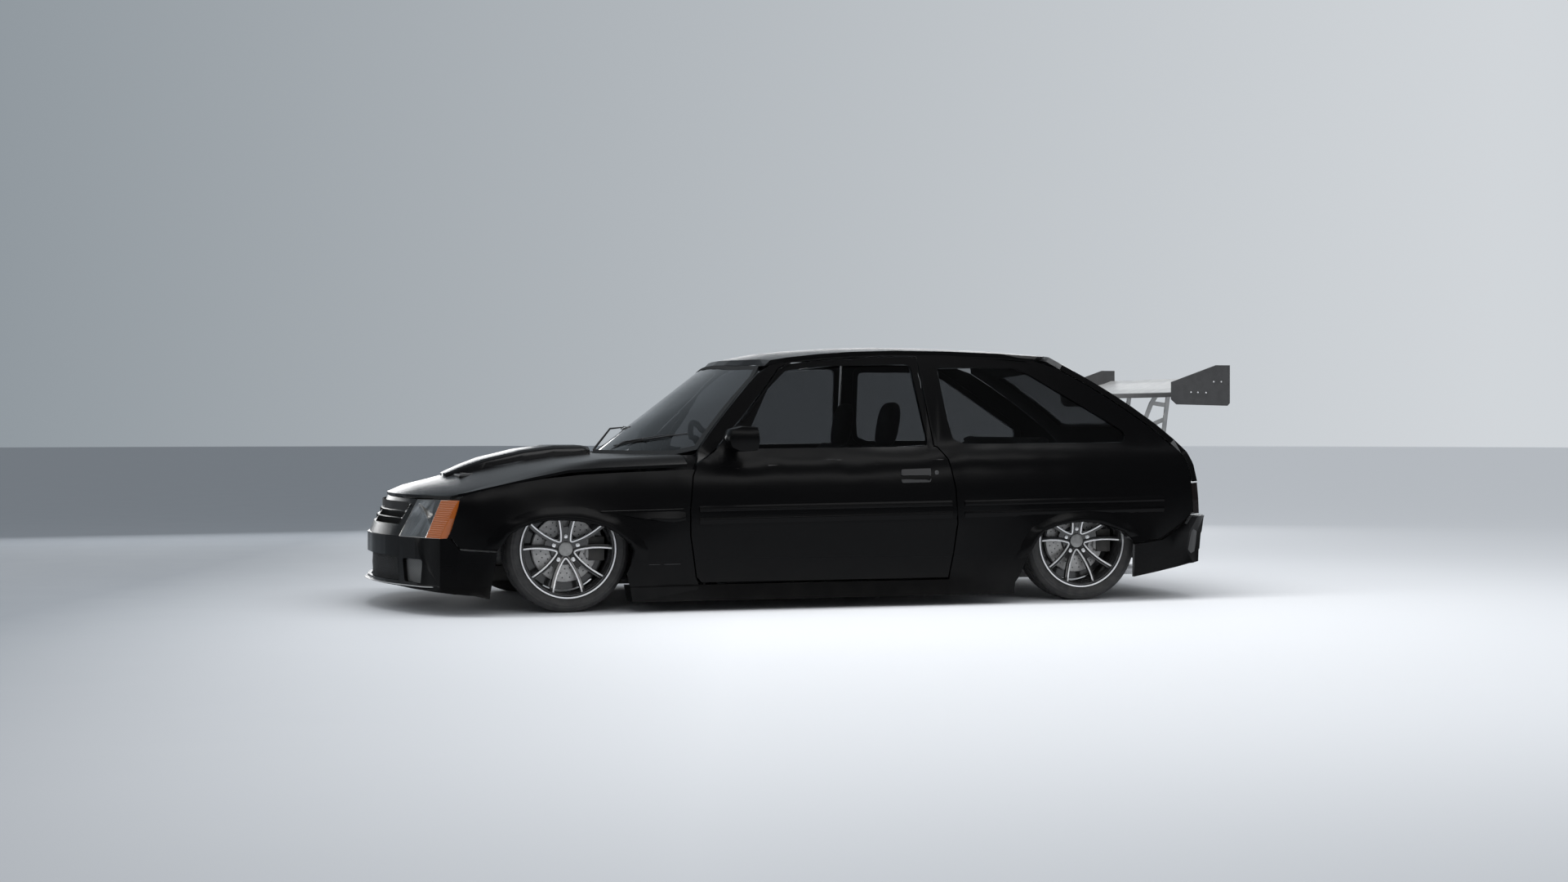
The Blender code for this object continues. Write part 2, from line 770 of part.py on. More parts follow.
def door_glass(word):
    side = SIDES[word]
    outline = inset_outline(rounded(DOOR_GLASS, 0.025, 2), SEAT_GAP)
    bm = side_panel(outline, [], across([0.96, 1.20, 1.44]) + level([0.85]), side,
                    lambda s, z: side_y(s, z) - 0.010, lambda s, z: side_y(s, z) - 0.010 - GLASS)
    finish("door_glass_" + word, bm, dark_glass(), (DOOR_HINGE_S, side * DOOR_HINGE_Y, 0.35))


def mirror_shell(side):
    """A mirror housing on a short arm."""
    shell = [(0.640, 0.730), (0.655, 0.768), (0.700, 0.782), (0.770, 0.778), (0.778, 0.720),
             (0.770, 0.676), (0.690, 0.673), (0.652, 0.690)]
    arm = [(0.690, 0.716), (0.695, 0.720), (0.715, 0.722), (0.745, 0.720), (0.750, 0.710),
           (0.745, 0.694), (0.705, 0.692), (0.693, 0.698)]
    sections = [(0.668, 0.0, arm), (0.748, 0.0, arm), (0.762, 0.72, shell), (0.790, 0.94, shell),
                (0.850, 1.0, shell), (0.895, 0.93, shell), (0.912, 0.72, shell)]
    bm = bmesh.new()
    rows = []
    for y, size, points in sections:
        size = size or 1.0
        rows.append([bm.verts.new((0.768 + (s - 0.768) * size, side * y,
                                   0.726 + (z - 0.726) * size)) for s, z in points])
    for low, high in zip(rows, rows[1:]):
        for i in range(len(shell)):
            j = (i + 1) % len(shell)
            bm.faces.new((low[i], low[j], high[j], high[i]))
    bm.faces.new(rows[0])
    bm.faces.new(rows[-1])
    return bm


# Roof and windscreen

def screen_top(y):
    return roof_z(0.81 + 0.35 * y * y, y) - ROOF_WALL - 0.0022


def roof_side(s):
    return side_y(s, rail_top(s) + ROOF_WALL)


def roof():
    stations = [0.925, 1.0, 1.15, 1.3, 1.5, 1.75, 2.0, 2.18]
    widths = [0.16, 0.32, 0.44]
    front = [(0.839 + 0.35 * y * y, y) for y in [0.0, *widths]]
    side = [(s, roof_side(s)) for s in stations]
    rear = [(roof_rear(y), y) for y in reversed([0.0, *widths])]
    half = front + side + rear
    outline = half + [(s, -y) for s, y in reversed(half) if y > 1e-9]
    lines = across([1.0, 1.15, 1.3, 1.5, 1.75, 2.0]) + level(
        [0.0, *widths, *[-w for w in widths]])

    def lead(s):
        return line_value(s, [(0.839, -0.027), (0.94, -0.027), (1.0, 0.0), (2.0, 0.0),
                              (2.22, -0.024), (2.34, -0.024)])

    finish("roof", top_panel(outline, [], lines, roof_z, ROOF_WALL, lead), black_paint())


def roof_rear(y):
    return tail_s(y, roof_z(2.25, y)) - PANEL_GAP - 0.002


def windscreen():
    heights = [0.76, 0.84, 0.92, 1.00]
    side = [(side_y(screen_edge(z)[0], z) - SIDE_WALL - SEAT_GAP, z) for z in (0.681, *heights)]
    top = [(y, screen_top(y)) for y in (0.50, 0.40, 0.30, 0.20, 0.10, 0.0)]
    base = [(y, COWL_TOP + SEAT_GAP) for y in (0.0, 0.15, 0.30, 0.45, 0.58)]
    outline = mirrored(base + side + top)
    lines = across([0.0, 0.15, 0.30, 0.45, 0.58, -0.15, -0.30, -0.45, -0.58]) + level(heights)
    finish("windscreen", end_panel(outline, [], lines, screen_s, 0.009), dark_glass())


def cowl():
    """The trim below the windscreen, with its two wipers."""
    back = [(screen_s(y, COWL_TOP) + 0.012, y) for y in (0.0, 0.15, 0.30, 0.45, 0.56, 0.64)]
    front = [(hood_rear(y) + PANEL_GAP, y) for y in (0.68, 0.56, 0.45, 0.30, 0.15, 0.0)]
    half = back + [(0.548, 0.664)] + [(0.515, 0.690)] + front
    outline = half + [(s, -y) for s, y in reversed(half) if y > 1e-9]
    lines = level([0.0, 0.15, 0.30, 0.45, 0.56, -0.15, -0.30, -0.45, -0.56])
    bm = top_panel(outline, [], lines, lambda s, y: COWL_TOP, 0.014)
    panel = finish("cowl", bm, black_plastic())
    for k, start in enumerate((-0.46, 0.06)):
        spots = [start + 0.40 * share for share in (0.0, 0.25, 0.5, 0.75, 1.0)]
        ribbon = [(screen_s(y, COWL_TOP) - 0.007, y) for y in spots]
        ribbon += [(screen_s(y, COWL_TOP) - 0.016, y) for y in reversed(spots)]
        blade = top_panel(ribbon, [], level(spots[1:-1]), lambda s, y: COWL_TOP + 0.018, 0.028)
        add_shape(panel, f"wiper_{k}", blade)


def hood_rear(y):
    return HOOD_REAR_S + HOOD_REAR_PLAN * y * y


def hood():
    spots = [0.0, 0.15, 0.30, 0.45, 0.58]
    nose = [(HOOD_NOSE_S + NOSE_PLAN * y * y, y) for y in (*spots, 0.65)]
    edge = [(s, hood_half_width(s)) for s in (-0.42, -0.30, -0.15, 0.0, 0.2, 0.4, 0.505)]
    rear = [(hood_rear(y), y) for y in (0.69, *reversed(spots))]
    half = nose + edge + rear
    outline = half + [(s, -y) for s, y in reversed(half) if y > 1e-9]
    lines = across([-0.56, -0.45, -0.30, -0.15, 0.0, 0.15]) + level(
        [0.0, *spots[1:], 0.64, 0.68, 0.71, -0.64, -0.68, -0.71, *[-y for y in spots[1:]]])
    bm = top_panel(outline, [], lines, hood_z, HOOD_WALL)
    panel = finish("hood", bm, black_paint(), (HOOD_HINGE_S, 0, HOOD_HINGE_Z))
    add_shape(panel, "scoop", scoop(), (HOOD_HINGE_S, 0, HOOD_HINGE_Z))


SCOOP = [(-0.420, 0.574, 0.092), (-0.340, 0.608, 0.132), (-0.255, 0.639, 0.160),
         (-0.091, 0.677, 0.188), (0.046, 0.696, 0.203), (0.166, 0.696, 0.210),
         (0.198, 0.690, 0.210)]


def scoop():
    """A raised scoop on the hood, open towards the windscreen."""
    bm = bmesh.new()
    rows = []
    for s, top, half in SCOOP:
        low = hood_z(s, 0.0) - 0.010
        row = []
        for y, share in ((-1.0, 0.0), (-0.97, 0.62), (-0.80, 0.96), (0.0, 1.0), (0.80, 0.96),
                         (0.97, 0.62), (1.0, 0.0)):
            row.append(bm.verts.new((s, y * half, low + (top - low) * share)))
        rows.append(row)
    for before, after in zip(rows, rows[1:]):
        for i in range(len(before)):
            j = (i + 1) % len(before)
            bm.faces.new((before[i], before[j], after[j], after[i]))
    bm.faces.new(rows[0])
    bm.faces.new(rows[-1])
    bmesh.ops.recalc_face_normals(bm, faces=bm.faces)
    return bm


# Nose

FRONT_PLAN = plan_curve([(-0.743, 0.0), (-0.739, 0.10), (-0.708, 0.27), (-0.661, 0.41),
                         (-0.583, 0.60), (-0.500, 0.707), (-0.455, 0.740), (-0.402, 0.762),
                         (-0.330, 0.777), (-0.280, 0.781)])
REAR_PLAN = plan_curve([(3.022, 0.0), (3.014, 0.30), (2.996, 0.52), (2.964, 0.64), (2.900, 0.718),
                        (2.790, 0.754), (2.650, 0.771), (2.540, 0.776)])
REAR_LEAN = 0.13
REAR_TOP = 0.372


def run_at(plan, s):
    """The distance along a plan curve at which it reaches a station."""
    rising = sorted((k[1], k[0]) for k in plan)
    return curve_value(s, rising)


def front_bumper():
    end = run_at(FRONT_PLAN, -0.305)
    half = [(0.0, 0.118), (0.42, 0.112), (0.60, 0.104), (0.74, 0.096), (0.88, 0.086),
            (run_at(FRONT_PLAN, -0.338), 0.072), (run_at(FRONT_PLAN, -0.319), 0.183),
            (end, 0.262), (run_at(FRONT_PLAN, -0.400), 0.267), (run_at(FRONT_PLAN, -0.456), 0.271),
            (run_at(FRONT_PLAN, -0.492), 0.318), (0.42, 0.318), (0.0, 0.318)]
    outline = mirrored(half)
    middle = [(-0.42, 0.132), (0.42, 0.132), (0.40, 0.235), (-0.40, 0.235)]
    duct = [(0.47, 0.132), (0.60, 0.127), (0.61, 0.228), (0.45, 0.228)]
    holes = [rounded(middle, 0.012, 2), rounded(duct, 0.012, 2),
             rounded([(-t, z) for t, z in duct], 0.012, 2)]
    lines = across([t * side for t in (0.10, 0.28, 0.42, 0.56, 0.72, 0.80, 0.88, 0.96)
                    for side in (-1, 1)]) + level([0.122])
    bm = band_panel(outline, holes, lines, FRONT_PLAN,
                    lambda z: -0.012 if z < 0.121 else 0.0, lambda z: 0.016)
    finish("front_bumper", bm, black_paint())


def rear_depth(z):
    """How far the rear bumper leans in below its top edge."""
    return REAR_LEAN * (REAR_TOP - z)


def rear_bumper():
    start = run_at(REAR_PLAN, 2.86)
    half = [(0.0, 0.172), (0.55, 0.170), (start, 0.158), (run_at(REAR_PLAN, 2.72), 0.132),
            (run_at(REAR_PLAN, 2.566), 0.105), (run_at(REAR_PLAN, 2.562), 0.180),
            (run_at(REAR_PLAN, 2.560), 0.250), (run_at(REAR_PLAN, 2.700), 0.268),
            (run_at(REAR_PLAN, 2.826), 0.338), (run_at(REAR_PLAN, 2.850), REAR_TOP),
            (0.55, REAR_TOP), (0.0, REAR_TOP)]
    outline = mirrored(half)
    lines = across([t * side for t in (0.15, 0.30, 0.45, 0.58, 0.68, 0.76, 0.86, 0.98)
                    for side in (-1, 1)]) + level([0.22, 0.30])
    bm = band_panel(outline, [], lines, REAR_PLAN, rear_depth, lambda z: rear_depth(z) + 0.018)
    panel = finish("rear_bumper", bm, black_paint())
    # The bumper's top turns in under the hatch and the lamps
    spots = [t * side for side in (-1, 1) for t in (0.15, 0.30, 0.45, 0.58, 0.65)]
    spots = sorted([0.0, *spots])
    bm = bmesh.new()
    rows = []
    for t in spots:
        corners = [(0.004, REAR_TOP - 0.012), (0.004, REAR_TOP - 0.0005),
                   (0.085, REAR_TOP - 0.0005), (0.085, REAR_TOP - 0.012)]
        rows.append([bm.verts.new(plan_point(REAR_PLAN, t, depth, z)) for depth, z in corners])
    for before, after in zip(rows, rows[1:]):
        for i in range(4):
            j = (i + 1) % 4
            bm.faces.new((before[i], before[j], after[j], after[i]))
    bm.faces.new(rows[0])
    bm.faces.new(rows[-1])
    add_shape(panel, "shelf", bm)


def grille():
    outline = mirrored([(0.0, 0.3183), (0.24, 0.3183), (0.417, 0.3183), (0.417, 0.472),
                        (0.24, 0.474), (0.0, 0.475)])
    slots = []
    for k in range(3):
        low = 0.366 + k * 0.029
        for side in (-1, 1):
            near, far = 0.008, 0.366 - 0.004 * k
            slot = [(near, low), (far, low), (far, low + 0.022), (near, low + 0.022)]
            slots.append([(side * y, z) for y, z in slot])
    lines = across([-0.366, -0.35, -0.31, -0.16, 0.0, 0.16, 0.31, 0.35, 0.366]) + level(
        [0.36, 0.455])
    bm = end_panel(outline, slots, lines, lambda y, z: face_s(y, z) + 0.006, 0.020)
    finish("grille", bm, black_plastic())


def headlamp(word):
    side = SIDES[word]
    outline = [(0.4173, 0.3183), (0.6097, 0.3183), (0.5867, 0.474), (0.4173, 0.472)]
    outline = [(side * y, z) for y, z in outline]
    bm = end_panel(outline, [], across([side * 0.48, side * 0.54]), face_s, 0.045)
    finish("headlamp_" + word, bm, headlamp_lens())


def indicator(word):
    side = SIDES[word]
    outline = [(0.610, 0.3183), (0.694, 0.3183), (0.700, 0.40), (0.694, 0.474), (0.587, 0.474)]
    outline = [(side * y, z) for y, z in outline]
    bm = end_panel(outline, [], across([side * 0.65]), face_s, 0.030)
    finish("indicator_" + word, bm, amber_lens())


# Tail

def hatch():
    """The tailgate, full width above the lamps and narrow between them."""
    upper = [1.055, 1.00, 0.93, 0.866, 0.79, 0.718, 0.67, 0.62, 0.5303]
    edge = [(tail_half_width(z), z) for z in upper]
    top = [(y, roof_z(2.26, y)) for y in (0.0, 0.15, 0.30, 0.40, 0.48)]
    half = top + edge + [(LAMP_INNER_Y, 0.5303), (LAMP_INNER_Y, REAR_FACE_Z), (0.0, REAR_FACE_Z)]
    outline = mirrored(half)
    glass = rounded(mirrored(HATCH_GLASS), 0.02, 2)
    lines = across([y * side for y in (0.15, 0.30, 0.44, 0.53, 0.60) for side in (-1, 1)]
                   + [0.0]) + level([0.45, 0.60, 0.62, 0.66, 0.718, 0.86, 0.95, 1.03])
    bm = tail_panel(outline, [glass], lines, 0.0, HATCH_WALL)
    finish("hatch", bm, black_paint(), (HATCH_HINGE_S, 0, HATCH_HINGE_Z))


HATCH_GLASS = [(0.0, 0.790), (0.500, 0.790), (0.420, 1.030), (0.0, 1.045)]
LAMP_INNER_Y = 0.500


def hatch_glass():
    outline = inset_outline(rounded(mirrored(HATCH_GLASS), 0.02, 2), SEAT_GAP)
    lines = across([y * side for y in (0.15, 0.30, 0.42) for side in (-1, 1)] + [0.0]) + level(
        [0.86, 0.95])
    bm = tail_panel(outline, [], lines, 0.005, 0.005 + GLASS)
    finish("hatch_glass", bm, dark_glass(), (HATCH_HINGE_S, 0, HATCH_HINGE_Z))


def tail_lamp(word):
    side = SIDES[word]
    half = [(LAMP_INNER_Y + PANEL_GAP, REAR_FACE_Z)]
    half += [(tail_half_width(z), z) for z in (REAR_FACE_Z, 0.45, 0.5243)]
    half += [(LAMP_INNER_Y + PANEL_GAP, 0.5243)]
    outline = [(side * y, z) for y, z in half]
    bm = tail_panel(outline, [], across([side * 0.57, side * 0.62, side * 0.67])
                    + level([0.45]), 0.002, HATCH_WALL + PANEL_GAP + SEAT_GAP)
    finish("tail_lamp_" + word, bm, smoked_lens())


def rear_wing():
    """A blade between two riveted end plates, held up by two pairs of braced struts."""
    blade = [(2.820, 0.916), (2.830, 0.934), (2.880, 0.952), (2.960, 0.972), (3.040, 0.990),
             (3.078, 1.004), (3.076, 0.994), (3.030, 0.972), (2.940, 0.944), (2.850, 0.914)]
    bm = prism(blade, "XZ", -WING_HALF_SPAN, WING_HALF_SPAN)
    hinge = (HATCH_HINGE_S, 0, HATCH_HINGE_Z)
    wing = finish("rear_wing", bm, wing_metal(), hinge)
    plate = [(2.806, 0.979), (3.030, 1.057), (WING_END, 1.057), (WING_END, 0.883),
             (WING_END - 0.012, 0.871), (2.833, 0.877), (2.806, 0.900)]
    front_foot = tail_point(STRUT_Y, FOOT_TOP - 0.012, -0.011)
    rear_foot = tail_point(STRUT_Y, FOOT_LOW + 0.014, -0.011)
    struts = {"front": [(2.952, 0.955), (2.904, 0.885), (2.868, 0.800),
                        (front_foot[0], front_foot[2])],
              "rear": [(2.997, 0.966), (2.978, 0.827), (rear_foot[0], rear_foot[2])],
              "brace": [(2.870, 0.770), (2.974, 0.811)],
              "link": [(2.908, 0.886), (2.984, 0.876)]}
    for word, side in SIDES.items():
        low, high = sorted((side * (WING_HALF_SPAN - 0.002), side * (WING_HALF_SPAN + 0.006)))
        add_shape(wing, "plate_" + word, prism(plate, "XZ", low, high), hinge)
        y = side * STRUT_Y
        for name, points in struts.items():
            half = 0.004 if name in ("front", "rear") else 0.003
            for k, (start, end) in enumerate(zip(points, points[1:])):
                bar = prism(bar_outline(start, end, 0.010), "XZ", y - half, y + half)
                add_shape(wing, f"{name}_{k}_{word}", bar, hinge)
        foot = [(y - 0.020, FOOT_LOW), (y + 0.020, FOOT_LOW), (y + 0.020, FOOT_TOP),
                (y - 0.020, FOOT_TOP)]
        pad = tail_panel(foot, [], level([0.62, 0.66]), -2 * SEAT_GAP, -0.016)
        add_shape(wing, "foot_" + word, pad, hinge)
    return wing


FOOT_LOW = 0.600
FOOT_TOP = 0.718
WING_HALF_SPAN = 0.620
STRUT_Y = 0.213


def bar_outline(start, end, half):
    a, b = Vector(start), Vector(end)
    along = (b - a).normalized()
    square = Vector((-along.y, along.x)) * half
    return [tuple(a + square), tuple(a - square), tuple(b - square), tuple(b + square)]


# Wheels

def wheel_side(bm, side):
    """Turns a shape drawn with +Y outboard so that it suits a side of the car."""
    if side < 0:
        bmesh.ops.scale(bm, verts=bm.verts, vec=(1, -1, 1))
        bmesh.ops.reverse_faces(bm, faces=bm.faces)
    return bm


def moved(bm, centre):
    bmesh.ops.translate(bm, verts=bm.verts, vec=centre)
    return bm


def tyre(name, centre, side):
    low = BEAD_RADIUS + SEAT_GAP
    top = RIM_LIP_RADIUS + 0.0006
    bead = RIM_HALF_WIDTH - FLANGE - 0.0006
    wide = TYRE_WIDTH / 2
    half = [(low, bead), (top, bead), (0.228, wide), (TYRE_RADIUS - 0.008, wide - 0.010),
            (TYRE_RADIUS, wide - 0.030)]
    profile = half + [(r, -a) for r, a in reversed(half)]
    bm = moved(wheel_side(turned(profile, (0, 0, 0)), side), centre)
    finish(name, bm, tyre_rubber(), centre, 40)


def spokes():
    """Ten spokes in five V-shaped pairs. They dish outwards from the hub to the rim."""
    bm = bmesh.new()
    reach = math.radians(21.5)
    for k in range(SPOKE_PAIRS):
        middle = Matrix.Rotation(math.radians(270 + k * 360 / SPOKE_PAIRS), 2)
        for hand in (-1, 1):
            base = Vector((0.044, hand * 0.021))
            tip = Vector((SPOKE_TIP * math.cos(reach), hand * SPOKE_TIP * math.sin(reach)))
            square = (tip - base).normalized()
            square = Vector((-square.y, square.x))
            leg = [base - square * 0.0085, tip - square * 0.0075, tip + square * 0.0075,
                   base + square * 0.0085]
            rows = []
            for low in (SPOKE_BACK, SPOKE_BACK + SPOKE_WALL):
                row = []
                for corner, out in zip(leg, (0.0, SPOKE_DISH, SPOKE_DISH, 0.0)):
                    x, z = middle @ corner
                    row.append(bm.verts.new((x, low + out, z)))
                rows.append(row)
            bm.faces.new(rows[0])
            bm.faces.new(rows[1])
            for i in range(4):
                j = (i + 1) % 4
                bm.faces.new((rows[0][i], rows[0][j], rows[1][j], rows[1][i]))
    bmesh.ops.recalc_face_normals(bm, faces=bm.faces)
    return bm


def rim(name, centre, side):
    lip, bead, wide = RIM_LIP_RADIUS, BEAD_RADIUS, RIM_HALF_WIDTH
    inside = bead - BARREL_WALL
    profile = [(lip, wide), (lip, wide - FLANGE), (bead, wide - FLANGE), (bead, FLANGE - wide),
               (lip, FLANGE - wide), (lip, -wide), (bead, 0.001 - wide), (inside, 0.012 - wide),
               (inside, wide - 0.012), (bead, wide - 0.001)]
    bm = moved(wheel_side(turned(profile, (0, 0, 0)), side), centre)
    wheel = finish(name, bm, rim_alloy(), centre, 30)
    add_shape(wheel, "spokes", moved(wheel_side(spokes(), side), centre), centre)
    hub = [(0.0, HUB_FACE), (DISC_RADIUS, HUB_FACE), (DISC_RADIUS, HUB_FACE + DISC_WALL),
           (0.064, HUB_FACE + DISC_WALL), (0.058, 0.013), (0.0, 0.015)]
    add_shape(wheel, "hub", moved(wheel_side(turned(hub, (0, 0, 0), 20), side), centre), centre)


def caliper(centre, side):
    """A caliper behind the axle line that bridges the disc's edge."""
    back = HUB_FACE - 0.008
    front = HUB_FACE + DISC_WALL + 0.008
    outer, inner = DISC_RADIUS + 0.026, DISC_RADIUS + 0.007
    section = [(0.085, back - 0.030), (outer, back - 0.030), (outer, front + 0.009),
               (0.100, front + 0.009), (0.100, front), (inner, front), (inner, back),
               (0.085, back)]
    bm = prism(section, "XY", -0.050, 0.050)
    return moved(wheel_side(bm, side), centre)


def steering_axis(side):
    low = Vector((FRONT_AXLE, side * BALL_JOINT_Y, BALL_JOINT_Z))
    high = Vector((FRONT_AXLE, side * STRUT_TOP_Y, STRUT_TOP_Z))
    return low, high, (high - low).normalized()


def knuckle(word):
    side = SIDES[word]
    centre = (FRONT_AXLE, side * WHEEL_PLANE, TYRE_RADIUS)
    low, high, up = steering_axis(side)
    bm = rod(low + up * SEAT_GAP, high - up * SEAT_GAP, STRUT_RADIUS, 12)
    part = finish("knuckle_" + word, bm, bare_metal(), low)
    hub = turned([(0.0, -0.100), (0.040, -0.100), (0.040, HUB_FACE - SEAT_GAP),
                  (0.0, HUB_FACE - SEAT_GAP)], (0, 0, 0), 16)
    add_shape(part, "hub", moved(wheel_side(hub, side), centre), low)
    arm = prism([(-0.020, -0.100), (0.120, -0.062), (0.120, HUB_FACE - 0.012),
                 (-0.020, HUB_FACE - 0.012)], "XY", -0.020, 0.020)
    add_shape(part, "arm", moved(wheel_side(arm, side), centre), low)
    add_shape(part, "caliper", caliper(centre, side), low)


def rear_axle():
    """A twist beam with its trailing arms, hubs and calipers."""
    beam = prism([(REAR_AXLE - 0.030, 0.215), (REAR_AXLE + 0.030, 0.215),
                  (REAR_AXLE + 0.020, 0.290), (REAR_AXLE - 0.020, 0.290)], "XZ", -0.505, 0.505)
    part = finish("rear_axle", beam, underbody(), (REAR_AXLE, 0, TYRE_RADIUS))
    for word, side in SIDES.items():
        centre = (REAR_AXLE, side * WHEEL_PLANE, TYRE_RADIUS)
        hub = turned([(0.0, -0.110), (0.040, -0.110), (0.040, HUB_FACE - SEAT_GAP),
                      (0.0, HUB_FACE - SEAT_GAP)], (0, 0, 0), 16)
        origin = (REAR_AXLE, 0, TYRE_RADIUS)
        add_shape(part, "hub_" + word, moved(wheel_side(hub, side), centre), origin)
        arm = prism([(-0.020, -0.105), (0.120, -0.062), (0.120, HUB_FACE - 0.012),
                     (-0.020, HUB_FACE - 0.012)], "XY", -0.020, 0.020)
        add_shape(part, "bracket_" + word, moved(wheel_side(arm, side), centre), origin)
        add_shape(part, "caliper_" + word, caliper(centre, side), origin)
        low, high = sorted((side * 0.420, side * 0.460))
        trailing = prism([(FLOOR_STEP + SEAT_GAP, 0.225), (REAR_AXLE - 0.010, 0.225),
                          (REAR_AXLE - 0.010, 0.270), (FLOOR_STEP + SEAT_GAP, 0.260)],
                         "XZ", low, high)
        add_shape(part, "trailing_" + word, trailing, origin)


# Floor, engine and cabin

def floor_pan():
    """The floor with its firewall, step, load floor, rear wheelhouses and rear wall."""
    plate = [(FIREWALL_S, SILL_INSIDE - SEAT_GAP), (FLOOR_STEP, SILL_INSIDE - SEAT_GAP)]
    plate = [(s, -y) for s, y in reversed(plate)] + plate
    part = finish("floor_pan", prism(plate, "XY", FLOOR_BOTTOM, FLOOR_BOTTOM + FLOOR_WALL),
                  underbody())
    add_shape(part, "step", box((FLOOR_STEP - 0.012, -0.640, FLOOR_BOTTOM + 0.002),
                                (FLOOR_STEP, 0.640, REAR_FLOOR)))
    add_shape(part, "load_floor", box((FLOOR_STEP - 0.006, -0.480, REAR_FLOOR - FLOOR_WALL),
                                      (REAR_WALL_S, 0.480, REAR_FLOOR)))
    add_shape(part, "rear_wall", box((REAR_WALL_S - 0.012, -0.672, 0.150),
                                     (REAR_WALL_S, 0.672, REAR_FACE_Z - 0.030)))
    add_shape(part, "firewall", box((FIREWALL_S, -0.5997, FLOOR_BOTTOM + 0.004),
                                    (FIREWALL_S + 0.012, 0.5997, 0.618)))
    add_shape(part, "cowl_wall", box((FIREWALL_S + 0.002, -0.420, 0.600),
                                     (FIREWALL_S + 0.016, 0.420, COWL_TOP - 0.0143)))
    for word, side in SIDES.items():
        add_shape(part, "tub_" + word, half_tub(side))
        low, high = sorted((side * 0.285, side * 0.315))
        back = plan_point(REAR_PLAN, 0.320, rear_depth(0.220) + 0.018, 0.0)[0]
        add_shape(part, "stay_" + word, box((REAR_WALL_S - 0.006, low, 0.220),
                                            (back - 2 * SEAT_GAP, high, 0.270)))
    add_shape(part, "latch", box((REAR_WALL_S - 0.012, -0.040, 0.340),
                                 (REAR_WALL_S - 0.002, 0.040, 0.460)))
    reach = tail_s(0, 0.434) - REAR_WALL_S + 0.007
    loop = [(-0.030, 0.420), (0.030, 0.420), (0.030, 0.448), (-0.030, 0.448)]
    add_shape(part, "striker", tail_panel(loop, [], across([0.0]),
                                          HATCH_WALL + 3 * SEAT_GAP, reach))


def front_subframe():
    """The front rails and cross members, with strut towers, lower arms and nose supports."""
    end = FIREWALL_S - SEAT_GAP
    part = finish("front_subframe", box((0.220, -0.330, 0.124), (0.280, 0.330, 0.160)),
                  underbody())
    add_shape(part, "cross", box((-0.640, -0.330, 0.124), (-0.580, 0.330, 0.160)))
    for word, side in SIDES.items():
        low, high = sorted((side * 0.310, side * 0.350))
        rail = [(-0.640, 0.118), (end, 0.118), (end, 0.180), (-0.640, 0.180)]
        add_shape(part, "rail_" + word, prism(rail, "XZ", low, high))
        low, high = sorted((side * 0.344, side * 0.356))
        apron = [(-0.130, 0.170), (end, 0.170), (end, 0.585), (0.130, 0.585), (-0.110, 0.560)]
        add_shape(part, "apron_" + word, prism(apron, "XZ", low, high))
        tower = [(side * 0.350, 0.556), (side * 0.520, 0.556), (side * 0.520, 0.572),
                 (side * 0.350, 0.572)]
        add_shape(part, "tower_" + word, prism(tower, "YZ", FRONT_AXLE - 0.090,
                                               FRONT_AXLE + 0.090))
        ball, top, up = steering_axis(side)
        add_shape(part, "strut_mount_" + word, rod(top, top + up * 0.014, 0.040, 12))
        arm = [(-0.130, 0.345), (0.130, 0.345), (0.026, 0.545), (-0.026, 0.545)]
        arm = [(FRONT_AXLE + s, side * y) for s, y in arm]
        add_shape(part, "arm_" + word, prism(arm, "XY", 0.126, 0.140))
        add_shape(part, "joint_" + word, rod(ball - up * 0.022, ball, 0.022, 12))
        pad = [(0.31, 0.360), (0.35, 0.360), (0.35, 0.455), (0.31, 0.455)]
        bm = end_panel([(side * y, z) for y, z in pad], [], [],
                       lambda y, z: face_s(y, z) + 0.026 + 2 * SEAT_GAP, 0.030)
        add_shape(part, "pad_" + word, bm)
        column = [(-0.638, 0.125), (-0.600, 0.125), (-0.600, 0.340), (-0.555, 0.452),
                  (-0.556, HOOD_REST_Z), (-0.574, HOOD_REST_Z), (-0.577, 0.450), (-0.645, 0.345)]
        low, high = sorted((side * 0.312, side * 0.348))
        add_shape(part, "column_" + word, prism(column, "XZ", low, high))


FIREWALL_S = 0.330
HOOD_REST_Z = hood_z(-0.580, 0.348) - HOOD_WALL - 0.0025
FLOOR_STEP = 1.960
REAR_FLOOR = 0.330
REAR_WALL_S = 2.850
WHEEL_TUB_OUT = 0.716


def half_tub(side):
    """A rear wheelhouse: an arched shell round the wheel with a closed inner wall."""
    outer, inner, centre_z = 0.312, 0.300, 0.262
    ends = (side * 0.470, side * 0.482, side * WHEEL_TUB_OUT)
    bm = bmesh.new()

    def arc(radius, y):
        angles = [math.radians(a) for a in range(12, 169, 12)]
        return [bm.verts.new((REAR_AXLE + radius * math.cos(a), y,
                              centre_z + radius * math.sin(a))) for a in angles]

    back, rim_out = arc(outer, ends[0]), arc(outer, ends[2])
    front, rim_in = arc(inner, ends[1]), arc(inner, ends[2])
    bm.faces.new(back)
    bm.faces.new(front)
    for i in range(len(back) - 1):
        bm.faces.new((back[i], back[i + 1], rim_out[i + 1], rim_out[i]))
        bm.faces.new((front[i], front[i + 1], rim_in[i + 1], rim_in[i]))
        bm.faces.new((rim_out[i], rim_out[i + 1], rim_in[i + 1], rim_in[i]))
    for i in (0, -1):
        bm.faces.new((rim_out[i], rim_in[i], front[i], back[i]))
    bm.faces.new((back[0], back[-1], front[-1], front[0]))
    bmesh.ops.recalc_face_normals(bm, faces=bm.faces)
    return bm


